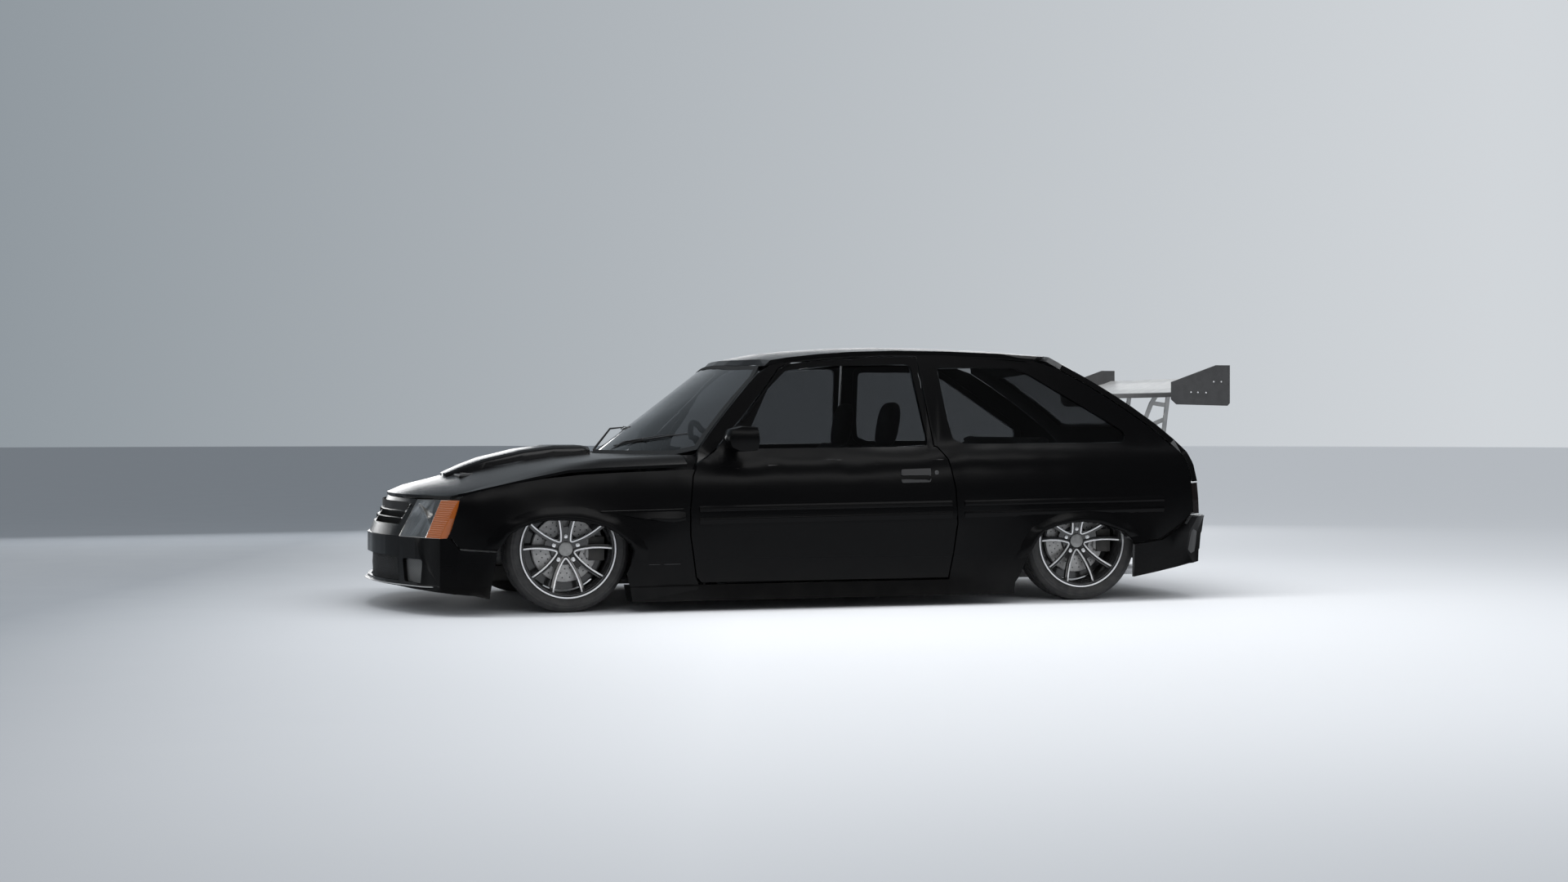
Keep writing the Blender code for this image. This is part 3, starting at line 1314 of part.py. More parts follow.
def engine():
    """The engine and gearbox as one plain block, with mounts on the front rails."""
    block = [(-0.400, 0.190), (-0.420, 0.470), (-0.330, 0.525), (0.020, 0.560), (0.180, 0.560),
             (0.215, 0.470), (0.200, 0.190), (0.060, 0.165), (-0.300, 0.165)]
    part = finish("engine", prism(block, "XZ", -0.300, 0.300), underbody(), (-0.10, 0, 0.35))
    for k, s in enumerate((-0.30, 0.10)):
        add_shape(part, f"mount_{k}", box((s - 0.03, -0.340, 0.1803), (s + 0.03, 0.340, 0.215)),
                  (-0.10, 0, 0.35))


def dashboard():
    """The dashboard between the hinge posts, with the steering column and wheel."""
    section = [(0.450, 0.470), (0.470, 0.625), (0.560, 0.650), (0.650, 0.640), (0.690, 0.600),
               (0.670, 0.500), (0.600, 0.470)]
    part = finish("dashboard", prism(section, "XZ", -0.5995, 0.5995), black_plastic())
    start, end = Vector((0.640, DRIVER_Y, 0.560)), Vector((0.860, DRIVER_Y, 0.640))
    add_shape(part, "column", rod(start, end, 0.025, 12))
    up = (end - start).normalized()
    wheel = bmesh.new()
    ring = []
    turn = up.to_track_quat("Z", "Y")
    for k in range(16):
        a = 2 * math.pi * k / 16
        out = turn @ Vector((math.cos(a), math.sin(a), 0))
        middle = end + out * 0.165
        ring.append([wheel.verts.new(middle + out * (0.012 * math.cos(b)) + up * 0.012 * math.sin(b))
                     for b in (0, math.pi / 2, math.pi, 3 * math.pi / 2)])
    for i in range(16):
        for j in range(4):
            wheel.faces.new((ring[i][j], ring[i][(j + 1) % 4], ring[(i + 1) % 16][(j + 1) % 4],
                             ring[(i + 1) % 16][j]))
    bmesh.ops.recalc_face_normals(wheel, faces=wheel.faces)
    add_shape(part, "wheel", wheel)
    for k, a in enumerate((math.pi / 6, 5 * math.pi / 6, 3 * math.pi / 2)):
        out = turn @ Vector((math.cos(a), math.sin(a), 0))
        add_shape(part, f"spoke_{k}", rod(end, end + out * 0.160, 0.009, 6))
    add_shape(part, "tunnel", box((0.3575, -0.150, 0.480), (0.480, 0.150, 0.600)))


DRIVER_Y = 0.330
SEAT_Y = 0.330


def seat(word):
    side = SIDES[word]
    low, high = sorted((side * (SEAT_Y - 0.220), side * (SEAT_Y + 0.220)))
    shape = [(0.980, 0.2000), (0.960, 0.290), (0.980, 0.320), (1.360, 0.290), (1.470, 0.680),
             (1.500, 0.700), (1.560, 0.690), (1.560, 0.640), (1.460, 0.200)]
    part = finish("seat_" + word, prism(shape, "XZ", low, high), seat_fabric())
    y = side * SEAT_Y
    low, high = sorted((y - 0.110, y + 0.110))
    rest = rounded([(1.500, 0.730), (1.515, 0.870), (1.590, 0.860), (1.590, 0.740)], 0.020, 2)
    add_shape(part, "headrest", prism(rest, "XZ", low, high))
    add_shape(part, "post", box((1.530, y - 0.030, 0.660), (1.550, y + 0.030, 0.760)))
    low, high = sorted((y - 0.180, y + 0.180))
    add_shape(part, "rails", prism(
        [(1.000, FLOOR_BOTTOM + FLOOR_WALL + SEAT_GAP), (1.420, FLOOR_BOTTOM + FLOOR_WALL + SEAT_GAP),
         (1.420, 0.220), (1.000, 0.220)], "XZ", low, high))


def rear_bench():
    shape = [(1.760, 0.300), (1.740, 0.360), (1.770, 0.400), (2.060, 0.370), (2.200, 0.720),
             (2.240, 0.735), (2.280, 0.720), (2.170, 0.350), (2.160, REAR_FLOOR + SEAT_GAP),
             (FLOOR_STEP - 0.0125, REAR_FLOOR + SEAT_GAP), (FLOOR_STEP - 0.0125, 0.300)]
    finish("rear_bench", prism(shape, "XZ", -0.465, 0.465), seat_fabric())


def exhaust():
    pipe = rod((0.300, EXHAUST_Y, 0.080), (2.960, EXHAUST_Y, 0.080), 0.020, 12)
    part = finish("exhaust", pipe, bare_metal())
    box_low, box_high = (2.300, EXHAUST_Y - 0.100, 0.058), (2.700, EXHAUST_Y + 0.100, 0.130)
    add_shape(part, "silencer", box(box_low, box_high))
    top = FLOOR_BOTTOM - SEAT_GAP
    for k, s in enumerate((0.500, 1.200, 1.800)):
        add_shape(part, f"hanger_{k}", box((s, EXHAUST_Y - 0.010, 0.085),
                                           (s + 0.030, EXHAUST_Y + 0.010, top)))


EXHAUST_Y = 0.100
COWL_TOP = 0.655

# Joint axes
DOOR_HINGE_S = 0.575
DOOR_HINGE_Y = 0.752
DOOR_INSIDE = 0.700
HOOD_HINGE_S = 0.560
HOOD_HINGE_Z = 0.640
HATCH_HINGE_S = 2.286
HATCH_HINGE_Z = 1.097


def main():
    for old in list(bpy.data.objects):
        bpy.data.objects.remove(old, do_unlink=True)
    Car.datum = bpy.data.objects.new("datum", None)
    Car.datum.location = (DATUM_X, 0, 0)
    bpy.context.scene.collection.objects.link(Car.datum)
    floor_pan()
    front_subframe()
    engine()
    dashboard()
    rear_bench()
    exhaust()
    rear_axle()
    for word, side in SIDES.items():
        body_side(word)
        quarter_glass(word)
        fender(word)
        door(word)
        door_glass(word)
        headlamp(word)
        indicator(word)
        tail_lamp(word)
        seat(word)
        knuckle(word)
        front = (FRONT_AXLE, side * WHEEL_PLANE, TYRE_RADIUS)
        rear = (REAR_AXLE, side * WHEEL_PLANE, TYRE_RADIUS)
        rim("front_rim_" + word, front, side)
        tyre("front_tyre_" + word, front, side)
        rim("rear_rim_" + word, rear, side)
        tyre("rear_tyre_" + word, rear, side)
    roof()
    windscreen()
    cowl()
    hood()
    front_bumper()
    grille()
    rear_bumper()
    hatch()
    hatch_glass()
    rear_wing()
    bpy.context.view_layer.update()


main()
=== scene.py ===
"""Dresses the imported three-door hatchback: paint, glass, lamps, wheels, cabin and a pale studio.

Every piece is drawn in the car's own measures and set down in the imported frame. In those
measures s runs rearwards from a point on the ground near the front axle, y runs across the
car with the left side below zero, and z runs up from the ground.
"""

import math

import bmesh
import bpy
from bpy.props import FloatProperty, FloatVectorProperty, IntProperty, PointerProperty
from mathutils import Matrix, Vector
from mathutils.bvhtree import BVHTree
from mathutils.kdtree import KDTree


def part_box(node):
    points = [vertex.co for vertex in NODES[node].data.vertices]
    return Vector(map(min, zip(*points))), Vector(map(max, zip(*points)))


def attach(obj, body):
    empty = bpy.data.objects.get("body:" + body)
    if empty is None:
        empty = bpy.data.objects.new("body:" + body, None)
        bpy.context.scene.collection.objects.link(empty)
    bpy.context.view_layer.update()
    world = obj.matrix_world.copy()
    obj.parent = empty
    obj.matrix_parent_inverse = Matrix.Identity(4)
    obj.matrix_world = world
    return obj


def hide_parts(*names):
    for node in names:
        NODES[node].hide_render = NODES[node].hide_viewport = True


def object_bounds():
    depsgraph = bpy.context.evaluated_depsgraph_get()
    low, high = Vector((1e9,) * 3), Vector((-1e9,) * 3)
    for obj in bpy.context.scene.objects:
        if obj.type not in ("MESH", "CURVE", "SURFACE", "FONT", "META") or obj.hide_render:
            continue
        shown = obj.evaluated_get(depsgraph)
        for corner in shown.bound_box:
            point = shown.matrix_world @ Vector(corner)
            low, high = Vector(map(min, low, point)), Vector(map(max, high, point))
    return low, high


bl_info = {
    "name": "Lowered hatchback",
    "version": (1, 0, 0),
    "blender": (4, 5, 0),
    "location": "3D View > Sidebar > Hatchback",
    "description": "Paint, glass, lamps, wheels, cabin and studio of a lowered three-door hatchback",
    "category": "Object",
}

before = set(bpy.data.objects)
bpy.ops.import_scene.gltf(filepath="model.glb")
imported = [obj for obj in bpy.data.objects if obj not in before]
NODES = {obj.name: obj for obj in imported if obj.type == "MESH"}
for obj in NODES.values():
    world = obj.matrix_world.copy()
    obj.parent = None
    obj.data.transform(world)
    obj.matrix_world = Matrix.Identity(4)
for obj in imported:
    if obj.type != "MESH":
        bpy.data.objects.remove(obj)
CAD_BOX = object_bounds()

# The car's measures that the pieces below share, in metres
DATUM_X = CAD_BOX[0].x + 0.755
SIDES = {"left": -1, "right": 1}
FRONT_AXLE, REAR_AXLE = 0.010, 2.341
WHEEL_Y, WHEEL_Z = 0.596, 0.263
# The body's side is everywhere nearer the middle than the door mirrors
MIRROR_Y = 0.80
SEAT_Y = 0.330
# The way across the picture, along which the painted shade on the backdrop and the floor thins and
# they turn paler
ACROSS = (0.9584, -0.2855, 0.0)


# Meshes

def moved(bm, vec):
    """Moves a whole shape."""
    bmesh.ops.translate(bm, verts=bm.verts, vec=vec)
    return bm


def turned(bm, matrix):
    """Turns a whole shape, and moves it with the matrix."""
    bmesh.ops.transform(bm, verts=bm.verts, matrix=matrix)
    return bm


def walled(bm, thickness):
    """Gives an open sheet a wall behind its faces."""
    bmesh.ops.solidify(bm, geom=bm.faces[:], thickness=thickness)
    return bm


def without(bm, faces):
    """Takes some faces away."""
    bmesh.ops.delete(bm, geom=list(faces), context="FACES")
    return bm


def node_mesh(name, merge=2e-5):
    """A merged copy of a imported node, in the car's own measures."""
    bm = bmesh.new()
    bm.from_mesh(NODES[name].data)
    bmesh.ops.remove_doubles(bm, verts=bm.verts, dist=merge)
    return moved(bm, (-DATUM_X, 0, 0))


def piece(name, bm, body, look, replaces=(), angle=35.0, recalc=True):
    """Turns a bmesh in the car's measures into a finished piece that rides on a body."""
    if recalc:
        bmesh.ops.recalc_face_normals(bm, faces=bm.faces)
    bmesh.ops.translate(bm, verts=bm.verts, vec=(DATUM_X, 0, 0))
    mesh = bpy.data.meshes.new(name)
    bm.to_mesh(mesh)
    bm.free()
    mesh.shade_smooth()
    mesh.set_sharp_from_angle(angle=math.radians(angle))
    for label in [look] if isinstance(look, str) else look:
        mesh.materials.append(material(label))
    made = bpy.data.objects.new(name, mesh)
    bpy.context.scene.collection.objects.link(made)
    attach(made, body)
    if replaces:
        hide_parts(*replaces)
    return made


def weighted(made):
    """Shades large faces flat, so that a long thin facet beside them doesn't show."""
    step = made.modifiers.new("weighted", "WEIGHTED_NORMAL")
    step.keep_sharp = True
    step.weight = 60
    return made


def ring_face(bm, points):
    """One flat face through points given in three dimensions."""
    return bm.faces.new([bm.verts.new(p) for p in points])


def flat_outline(points, plane):
    """A flat face in the plane named by two axes, from pairs of values."""
    bm = bmesh.new()
    ring_face(bm, [(a, 0, b) if plane == "XZ" else (0, a, b) for a, b in points])
    return bm


def cut_lines(bm, axis, values):
    """Cuts every face along level planes, so that it can be bent there."""
    normal = Vector([float(axis == k) for k in "XYZ"])
    for value in values:
        bmesh.ops.bisect_plane(bm, geom=bm.verts[:] + bm.edges[:] + bm.faces[:], dist=1e-5,
                               plane_co=normal * value, plane_no=normal)


def steps(low, high, size):
    """Evenly spaced values between two limits, about a size apart."""
    count = max(1, round((high - low) / size))
    return [low + (high - low) * k / count for k in range(1, count)]


def thicken(bm, wall, direction):
    """Gives an open sheet a wall along one direction."""
    made = bmesh.ops.extrude_face_region(bm, geom=bm.faces[:])
    lifted = [v for v in made["geom"] if isinstance(v, bmesh.types.BMVert)]
    bmesh.ops.translate(bm, verts=lifted, vec=Vector(direction) * wall)
    return bm


def rim_only(bm, width):
    """Keeps of a sheet only a band of one width along its border."""
    made = bmesh.ops.inset_region(bm, faces=bm.faces[:], thickness=width, use_boundary=True,
                                  use_even_offset=True)
    rim = set(made["faces"])
    return without(bm, [f for f in bm.faces if f not in rim])


def ribbon(points, plane, width):
    """The rim of an outline, as a band of one width inside it."""
    return rim_only(flat_outline(points, plane), width)


def filled(line, count):
    """Pairs of values along a line, count of them on each stretch, without its last end."""
    return [(a[0] + (b[0] - a[0]) * k / count, a[1] + (b[1] - a[1]) * k / count)
            for a, b in zip(line, line[1:]) for k in range(count)]


def spun(profile, centre=(0, 0, 0), axis="Y", count=48):
    """Spins a closed outline of (radius, along) pairs round an axis through centre."""
    bm = bmesh.new()
    verts = [bm.verts.new((radius, along, 0) if axis == "Y" else (along, radius, 0))
             for radius, along in profile]
    edges = [bm.edges.new((a, b)) for a, b in zip(verts, verts[1:] + verts[:1])]
    bmesh.ops.spin(bm, geom=verts + edges, cent=(0, 0, 0), dvec=(0, 0, 0), angle=math.tau,
                   axis={"X": (1, 0, 0), "Y": (0, 1, 0)}[axis], steps=count, use_merge=True,
                   use_duplicate=False)
    bmesh.ops.remove_doubles(bm, verts=bm.verts, dist=1e-6)
    bmesh.ops.dissolve_degenerate(bm, dist=1e-7, edges=bm.edges)
    return moved(bm, centre)


def rounded_box(low, high, radius=0.004, segments=2):
    """A box between two corners with rounded edges."""
    bm = bmesh.new()
    bmesh.ops.create_cube(bm, size=1.0)
    low, high = Vector(low), Vector(high)
    bmesh.ops.scale(bm, verts=bm.verts, vec=high - low)
    moved(bm, (low + high) / 2)
    bmesh.ops.bevel(bm, geom=bm.edges[:], offset=radius, affect="EDGES",
                    segments=segments, profile=0.5, material=-1)
    return bm


def bar(start, end, radius, sides=12, far_radius=None):
    """A round bar between two points."""
    start, end = Vector(start), Vector(end)
    bm = bmesh.new()
    along = end - start
    bmesh.ops.create_cone(bm, cap_ends=True, segments=sides, radius1=radius,
                          radius2=radius if far_radius is None else far_radius,
                          depth=along.length)
    turn = along.to_track_quat("Z", "Y").to_matrix().to_4x4()
    return turned(bm, Matrix.Translation((start + end) / 2) @ turn)


def sweep(points, section, up=(0, 0, 1)):
    """A bar of a flat section along a line of points. section is (across, height) pairs."""
    bm = bmesh.new()
    up = Vector(up)
    points = [Vector(p) for p in points]
    rows = []
    for i, point in enumerate(points):
        along = (points[min(i + 1, len(points) - 1)] - points[max(i - 1, 0)]).normalized()
        across = along.cross(up).normalized()
        lift = across.cross(along).normalized()
        rows.append([bm.verts.new(point + across * a + lift * b) for a, b in section])
    loops = []
    for row in rows:
        loops.append([bm.edges.new((row[k - 1], row[k])) for k in range(len(row))])
    for one, two in zip(loops, loops[1:]):
        bmesh.ops.bridge_loops(bm, edges=one + two)
    bm.faces.new(rows[0])
    bm.faces.new(rows[-1])
    return bm


def joined(parts):
    """Several bmeshes as one."""
    whole = bmesh.new()
    for part in parts:
        mesh = bpy.data.meshes.new("part")
        part.to_mesh(mesh)
        part.free()
        whole.from_mesh(mesh)
        bpy.data.meshes.remove(mesh)
    return whole


def mirrored(bm, side):
    """Turns a shape drawn for the right side so that it suits either side."""
    if side < 0:
        bmesh.ops.scale(bm, verts=bm.verts, vec=(1, -1, 1))
        bmesh.ops.reverse_faces(bm, faces=bm.faces)
    return bm


class Skin:
    """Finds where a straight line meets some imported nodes."""

    def __init__(self, *names):
        verts, faces = [], []
        for name in names:
            mesh = (bpy.data.objects.get(name + "_shell") or NODES[name]).data
            first = len(verts)
            verts += [v.co - Vector((DATUM_X, 0, 0)) for v in mesh.vertices]
            faces += [[first + k for k in p.vertices] for p in mesh.polygons]
        self.tree = BVHTree.FromPolygons(verts, faces)

    def hit(self, start, way):
        return self.tree.ray_cast(Vector(start), Vector(way))[0]

    def side(self, s, z, side, missing=0.74):
        """Distance of the outer skin from the middle of the car."""
        hit = self.hit((s, side * 1.5, z), (0, -side, 0))
        return abs(hit.y) if hit and hit.y * side > 0.3 else missing

    def inside(self, s, z, side, missing=0.70):
        """Distance of the inner skin from the middle of the car."""
        hit = self.hit((s, 0, z), (0, side, 0))
        return abs(hit.y) if hit else missing

    def front(self, y, z, missing=-0.70):
        """Where the foremost skin lies."""
        hit = self.hit((-2.0, y, z), (1, 0, 0))
        return hit.x if hit else missing

    def back(self, y, z, missing=2.95):
        """Where the rearmost skin lies."""
        hit = self.hit((5.0, y, z), (-1, 0, 0))
        return hit.x if hit else missing

    def top(self, s, y, missing=0.60):
        """Height of the uppermost skin."""
        hit = self.hit((s, y, 3.0), (0, 0, -1))
        return hit.z if hit else missing


# Node groups and materials

def add_node(nodes, kind, sockets=None, **settings):
    """A new shader node with its settings and the values of its sockets."""
    made = nodes.new("ShaderNode" + kind)
    for label, value in settings.items():
        setattr(made, label, value)
    for label, value in (sockets or {}).items():
        made.inputs[label].default_value = value
    return made


def add_ramp(nodes, first, last, low=0.0, high=1.0):
    """A colour ramp between two colours."""
    ramp = add_node(nodes, "ValToRGB")
    ends = ramp.color_ramp.elements
    ends[0].position, ends[1].position = low, high
    ends[0].color, ends[1].color = (*first, 1.0), (*last, 1.0)
    return ramp


def wire(links, *joints):
    """Joins sockets. Each joint is a node and its output, then a node and its input."""
    for start, out, end, into in joints:
        links.new(start.outputs[out], end.inputs[into])


def shader_group(name, inputs, outputs):
    """A new node group with its sockets. Returns the tree and its two end nodes."""
    tree = bpy.data.node_groups.new(name, "ShaderNodeTree")
    for label, value in inputs:
        socket = tree.interface.new_socket(label, in_out="INPUT", socket_type="NodeSocketFloat")
        socket.default_value = value
    for label in outputs:
        tree.interface.new_socket(label, in_out="OUTPUT", socket_type="NodeSocketFloat")
    return tree, tree.nodes.new("NodeGroupInput"), tree.nodes.new("NodeGroupOutput")


def grain_group():
    """Fine mottling on Object coordinates: a value about one and a height for bumps."""
    tree = bpy.data.node_groups.get("Fine grain")
    if tree:
        return tree
    tree, start, end = shader_group(
        "Fine grain", [("Scale", 400.0), ("Detail", 3.0), ("Low", 0.9), ("High", 1.1)],
        ["Value", "Height"])
    place, noise, span = [add_node(tree.nodes, kind)
                          for kind in ("TexCoord", "TexNoise", "MapRange")]
    wire(tree.links, (place, "Object", noise, "Vector"), (start, "Scale", noise, "Scale"),
         (start, "Detail", noise, "Detail"), (noise, "Fac", span, "Value"),
         (start, "Low", span, "To Min"), (start, "High", span, "To Max"),
         (span, "Result", end, "Value"), (noise, "Fac", end, "Height"))
    return tree


def dust_group():
    """Road dust that thins out upwards, as a mask."""
    tree = bpy.data.node_groups.get("Road dust")
    if tree:
        return tree
    tree, start, end = shader_group("Road dust", [("Reach", 0.25), ("Amount", 0.3)], ["Mask"])
    place = add_node(tree.nodes, "TexCoord")
    axes = add_node(tree.nodes, "SeparateXYZ")
    fall = add_node(tree.nodes, "MapRange", {"To Min": 1.0, "To Max": 0.0})
    noise = add_node(tree.nodes, "TexNoise", {"Scale": 14.0, "Detail": 6.0})
    blend = add_node(tree.nodes, "Math", operation="MULTIPLY")
    amount = add_node(tree.nodes, "Math", operation="MULTIPLY")
    wire(tree.links, (place, "Object", axes, "Vector"), (place, "Object", noise, "Vector"),
         (axes, "Z", fall, "Value"), (start, "Reach", fall, "From Max"),
         (fall, "Result", blend, 0), (noise, "Fac", blend, 1), (blend, "Value", amount, 0),
         (start, "Amount", amount, 1), (amount, "Value", end, "Mask"))
    return tree


class Look:
    """A Principled material under construction."""

    def __init__(self, name, colour, roughness, metallic=0.0, **sockets):
        self.made = bpy.data.materials.new(name)
        self.made.use_nodes = True
        self.made.diffuse_color = (*colour, 1.0)
        self.nodes = self.made.node_tree.nodes
        self.links = self.made.node_tree.links
        self.shader = self.nodes["Principled BSDF"]
        self.colour = colour
        self.roughness = roughness
        self.surface = None
        sockets.update(Base_Color=(*colour, 1.0), Roughness=roughness, Metallic=metallic)
        for label, value in sockets.items():
            self.shader.inputs[label.replace("_", " ")].default_value = value

    def group(self, tree, **values):
        return add_node(self.nodes, "Group", values, node_tree=tree)

    def raised(self, source, output, **values):
        """Raises the surface by what a node gives out."""
        bump = add_node(self.nodes, "Bump", values)
        wire(self.links, (source, output, bump, "Height"),
             (bump, "Normal", self.shader, "Normal"))

    def grain(self, scale, spread, height=0.0, detail=3.0):
        """Varies the roughness with fine grain and raises it a little."""
        node = self.group(grain_group(), Scale=scale, Detail=detail,
                          Low=self.roughness * (1 - spread), High=self.roughness * (1 + spread))
        wire(self.links, (node, "Value", self.shader, "Roughness"))
        if height:
            self.raised(node, "Height", Distance=height, Strength=1.0)

    def mottle(self, second, scale, low=0.4, high=0.6):
        """Mixes a second colour in, in soft patches."""
        place = add_node(self.nodes, "TexCoord")
        noise = add_node(self.nodes, "TexNoise", {"Scale": scale, "Detail": 5.0})
        self.surface = add_ramp(self.nodes, self.colour, second, low, high)
        wire(self.links, (place, "Object", noise, "Vector"), (noise, "Fac", self.surface, "Fac"),
             (self.surface, "Color", self.shader, "Base Color"))

    def dust(self, reach, amount):
        """Lays road dust over the colour, thickest at the ground."""
        node = self.group(dust_group(), Reach=reach, Amount=amount)
        mix = add_node(self.nodes, "Mix", data_type="RGBA")
        mix.inputs[6].default_value = (*self.colour, 1.0)
        mix.inputs[7].default_value = (*DUST, 1.0)
        if self.surface:
            wire(self.links, (self.surface, "Color", mix, 6))
        wire(self.links, (node, "Mask", mix, 0), (mix, 2, self.shader, "Base Color"))

    def weave(self):
        """Raises two crossed rows of threads."""
        place = add_node(self.nodes, "TexCoord")
        join = add_node(self.nodes, "Math", operation="MAXIMUM")
        for k, axis in enumerate("YZ"):
            wave = add_node(self.nodes, "TexWave", {"Scale": 160.0}, bands_direction=axis)
            wire(self.links, (place, "Object", wave, "Vector"), (wave, "Fac", join, k))
        self.raised(join, "Value", Distance=0.0006)


DUST = (0.16, 0.15, 0.135)
MATERIALS = {}


def recipes():
    """What each material is made of. base holds its colour, roughness and metallic share."""
    paint = bpy.context.scene.hatchback_paint
    return {
        "black_paint": dict(base=(tuple(paint.colour), paint.roughness), IOR=1.50,
                            Specular_IOR_Level=paint.gloss, grain=(650.0, 0.25, 0.00002, 2.0),
                            dust=(0.22, 0.05)),
        "tinted_glass": dict(base=(tuple(paint.glass), 0.004), IOR=1.40, Transmission_Weight=1.0,
                             grain=(30.0, 0.15)),
        "clear_lens": dict(base=((0.90, 0.92, 0.94), 0.03), IOR=1.47, Transmission_Weight=1.0,
                           grain=(60.0, 0.5)),
        "amber_lens": dict(base=((0.44, 0.108, 0.012), 0.16), IOR=1.47, Transmission_Weight=0.30,
                           Coat_Weight=0.2, grain=(120.0, 0.3)),
        "red_lens": dict(base=((0.24, 0.006, 0.006), 0.12), IOR=1.47, Coat_Weight=0.8,
                         mottle=((0.18, 0.004, 0.004), 40.0), grain=(300.0, 0.3, 0.00008)),
        "smoke_lens": dict(base=((0.008, 0.006, 0.006), 0.16), IOR=1.47, Specular_IOR_Level=0.25,
                           grain=(300.0, 0.3, 0.00008)),
        "reflector": dict(base=((0.52, 0.505, 0.485), 0.36, 1.0), grain=(90.0, 0.4, 0.00012)),
        "bright_metal": dict(base=((0.86, 0.86, 0.87), 0.26, 0.45), grain=(900.0, 0.3, 0.00002)),
        "satin_metal": dict(base=((0.58, 0.58, 0.57), 0.36, 0.55),
                            mottle=((0.50, 0.50, 0.50), 25.0), grain=(500.0, 0.25, 0.00003)),
        "plate_metal": dict(base=((0.060, 0.060, 0.061), 0.42, 0.2),
                            mottle=((0.052, 0.052, 0.053), 30.0), grain=(700.0, 0.2, 0.00003)),
        "cast_metal": dict(base=((0.36, 0.36, 0.355), 0.50, 0.4),
                           mottle=((0.29, 0.29, 0.287), 60.0), grain=(450.0, 0.25, 0.0002),
                           dust=(0.5, 0.2)),
        "disc_metal": dict(base=((0.42, 0.415, 0.41), 0.36, 0.5),
                           mottle=((0.34, 0.335, 0.33), 80.0), grain=(800.0, 0.3, 0.00004)),
        "wheel_black": dict(base=((0.014, 0.014, 0.015), 0.22), Coat_Weight=0.5,
                            grain=(600.0, 0.25, 0.00002), dust=(0.5, 0.10)),
        "tyre_rubber": dict(base=((0.021, 0.021, 0.022), 0.68), Specular_IOR_Level=0.45,
                            mottle=((0.032, 0.031, 0.031), 35.0), grain=(800.0, 0.15, 0.0002),
                            dust=(0.45, 0.12)),
        "soft_rubber": dict(base=((0.022, 0.022, 0.023), 0.60), grain=(1200.0, 0.15, 0.00006)),
        # Grey of the side windows' seals: a painted highlight along the rubber
        "grey_seal": dict(base=((0.115, 0.120, 0.125), 0.55), grain=(900.0, 0.2, 0.00006)),
        "pale_trim": dict(base=((0.62, 0.63, 0.64), 0.45), mottle=((0.55, 0.56, 0.57), 25.0),
                          grain=(900.0, 0.2, 0.00006)),
        "black_plastic": dict(base=((0.020, 0.020, 0.021), 0.46), grain=(1500.0, 0.2, 0.00012),
                              dust=(0.35, 0.15)),
        "frit": dict(base=((0.020, 0.021, 0.022), 0.80), Specular_IOR_Level=0.0,
                     grain=(700.0, 0.1)),
        # Also the dark sheets of painted shade behind the grille and the bumper
        "deep_black": dict(base=((0.005, 0.005, 0.005), 0.60), Specular_IOR_Level=0.2,
                           grain=(900.0, 0.2, 0.0001)),
        "cabin_plastic": dict(base=((0.045, 0.046, 0.048), 0.62),
                              mottle=((0.038, 0.039, 0.041), 20.0),
                              grain=(1100.0, 0.15, 0.00025)),
        "under_paint": dict(base=((0.022, 0.022, 0.022), 0.75),
                            mottle=((0.038, 0.036, 0.034), 18.0), grain=(260.0, 0.15, 0.0006),
                            dust=(0.40, 0.35)),
        "blank_plate": dict(base=((0.72, 0.72, 0.70), 0.35), mottle=((0.68, 0.68, 0.66), 60.0),
                            grain=(900.0, 0.2, 0.00003)),
        "seat_cloth": dict(base=((0.050, 0.050, 0.054), 0.90), Sheen_Weight=0.35,
                           Sheen_Roughness=0.5,
                           mottle=((0.072, 0.072, 0.078), 240.0, 0.45, 0.55),
                           grain=(500.0, 0.08), weave=()),
    }


def material(name):
    """The material of that name, built when it is first asked for."""
    if name not in MATERIALS:
        recipe = recipes()[name]
        stages = {stage: recipe.pop(stage) for stage in ("mottle", "grain", "dust", "weave")
                  if stage in recipe}
        look = Look(name, *recipe.pop("base"), **recipe)
        for stage, values in stages.items():
            getattr(look, stage)(*values)
        MATERIALS[name] = look.made
    return MATERIALS[name]


def dress(look, *names):
    """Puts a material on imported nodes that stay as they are."""
    for name in names:
        mesh = NODES[name].data
        mesh.materials.clear()
        mesh.materials.append(material(look))


# Body panels

def lined(bm, away, index=1):
    """Marks the faces of a panel that look inwards. away gives the outward way at a point."""
    for face in bm.faces:
        if face.normal.dot(away(face.calc_center_median()).normalized()) < -0.25:
            face.material_index = index
    return bm


def sideways(c):
    return Vector((0, c.y, 0))


def upwards(c):
    return Vector((0, 0, 1))


def ahead(c):
    return Vector((-1, 0, 0))


def behind(c):
    return Vector((1, 0, 0))


def round_nose(c):
    return Vector((c.x - 0.30, c.y, 0))


def round_tail(c):
    return Vector((c.x - 2.20, c.y, 0))


NOSE_PLAN = [(0.0, -0.743), (0.10, -0.739), (0.27, -0.708), (0.41, -0.661), (0.60, -0.583),
             (0.70, -0.508)]


def softened(bm, away, axes, limits, along="Y", rounds=3, size=0.045):
    """Cuts the outer skin of a panel finely and smooths it along one axis, with its edges held."""
    for axis, (low, high) in zip(axes, limits):
        cut_lines(bm, axis, steps(low, high, size))
    outer = [v for v in bm.verts if v.co.z < 0.655
             and all(f.normal.dot(away(v.co).normalized()) > 0.35 for f in v.link_faces)]
    for _ in range(rounds):
        bmesh.ops.smooth_vert(bm, verts=outer, factor=0.5, use_axis_x=along == "X",
                              use_axis_y=along == "Y", use_axis_z=False)
    return bm


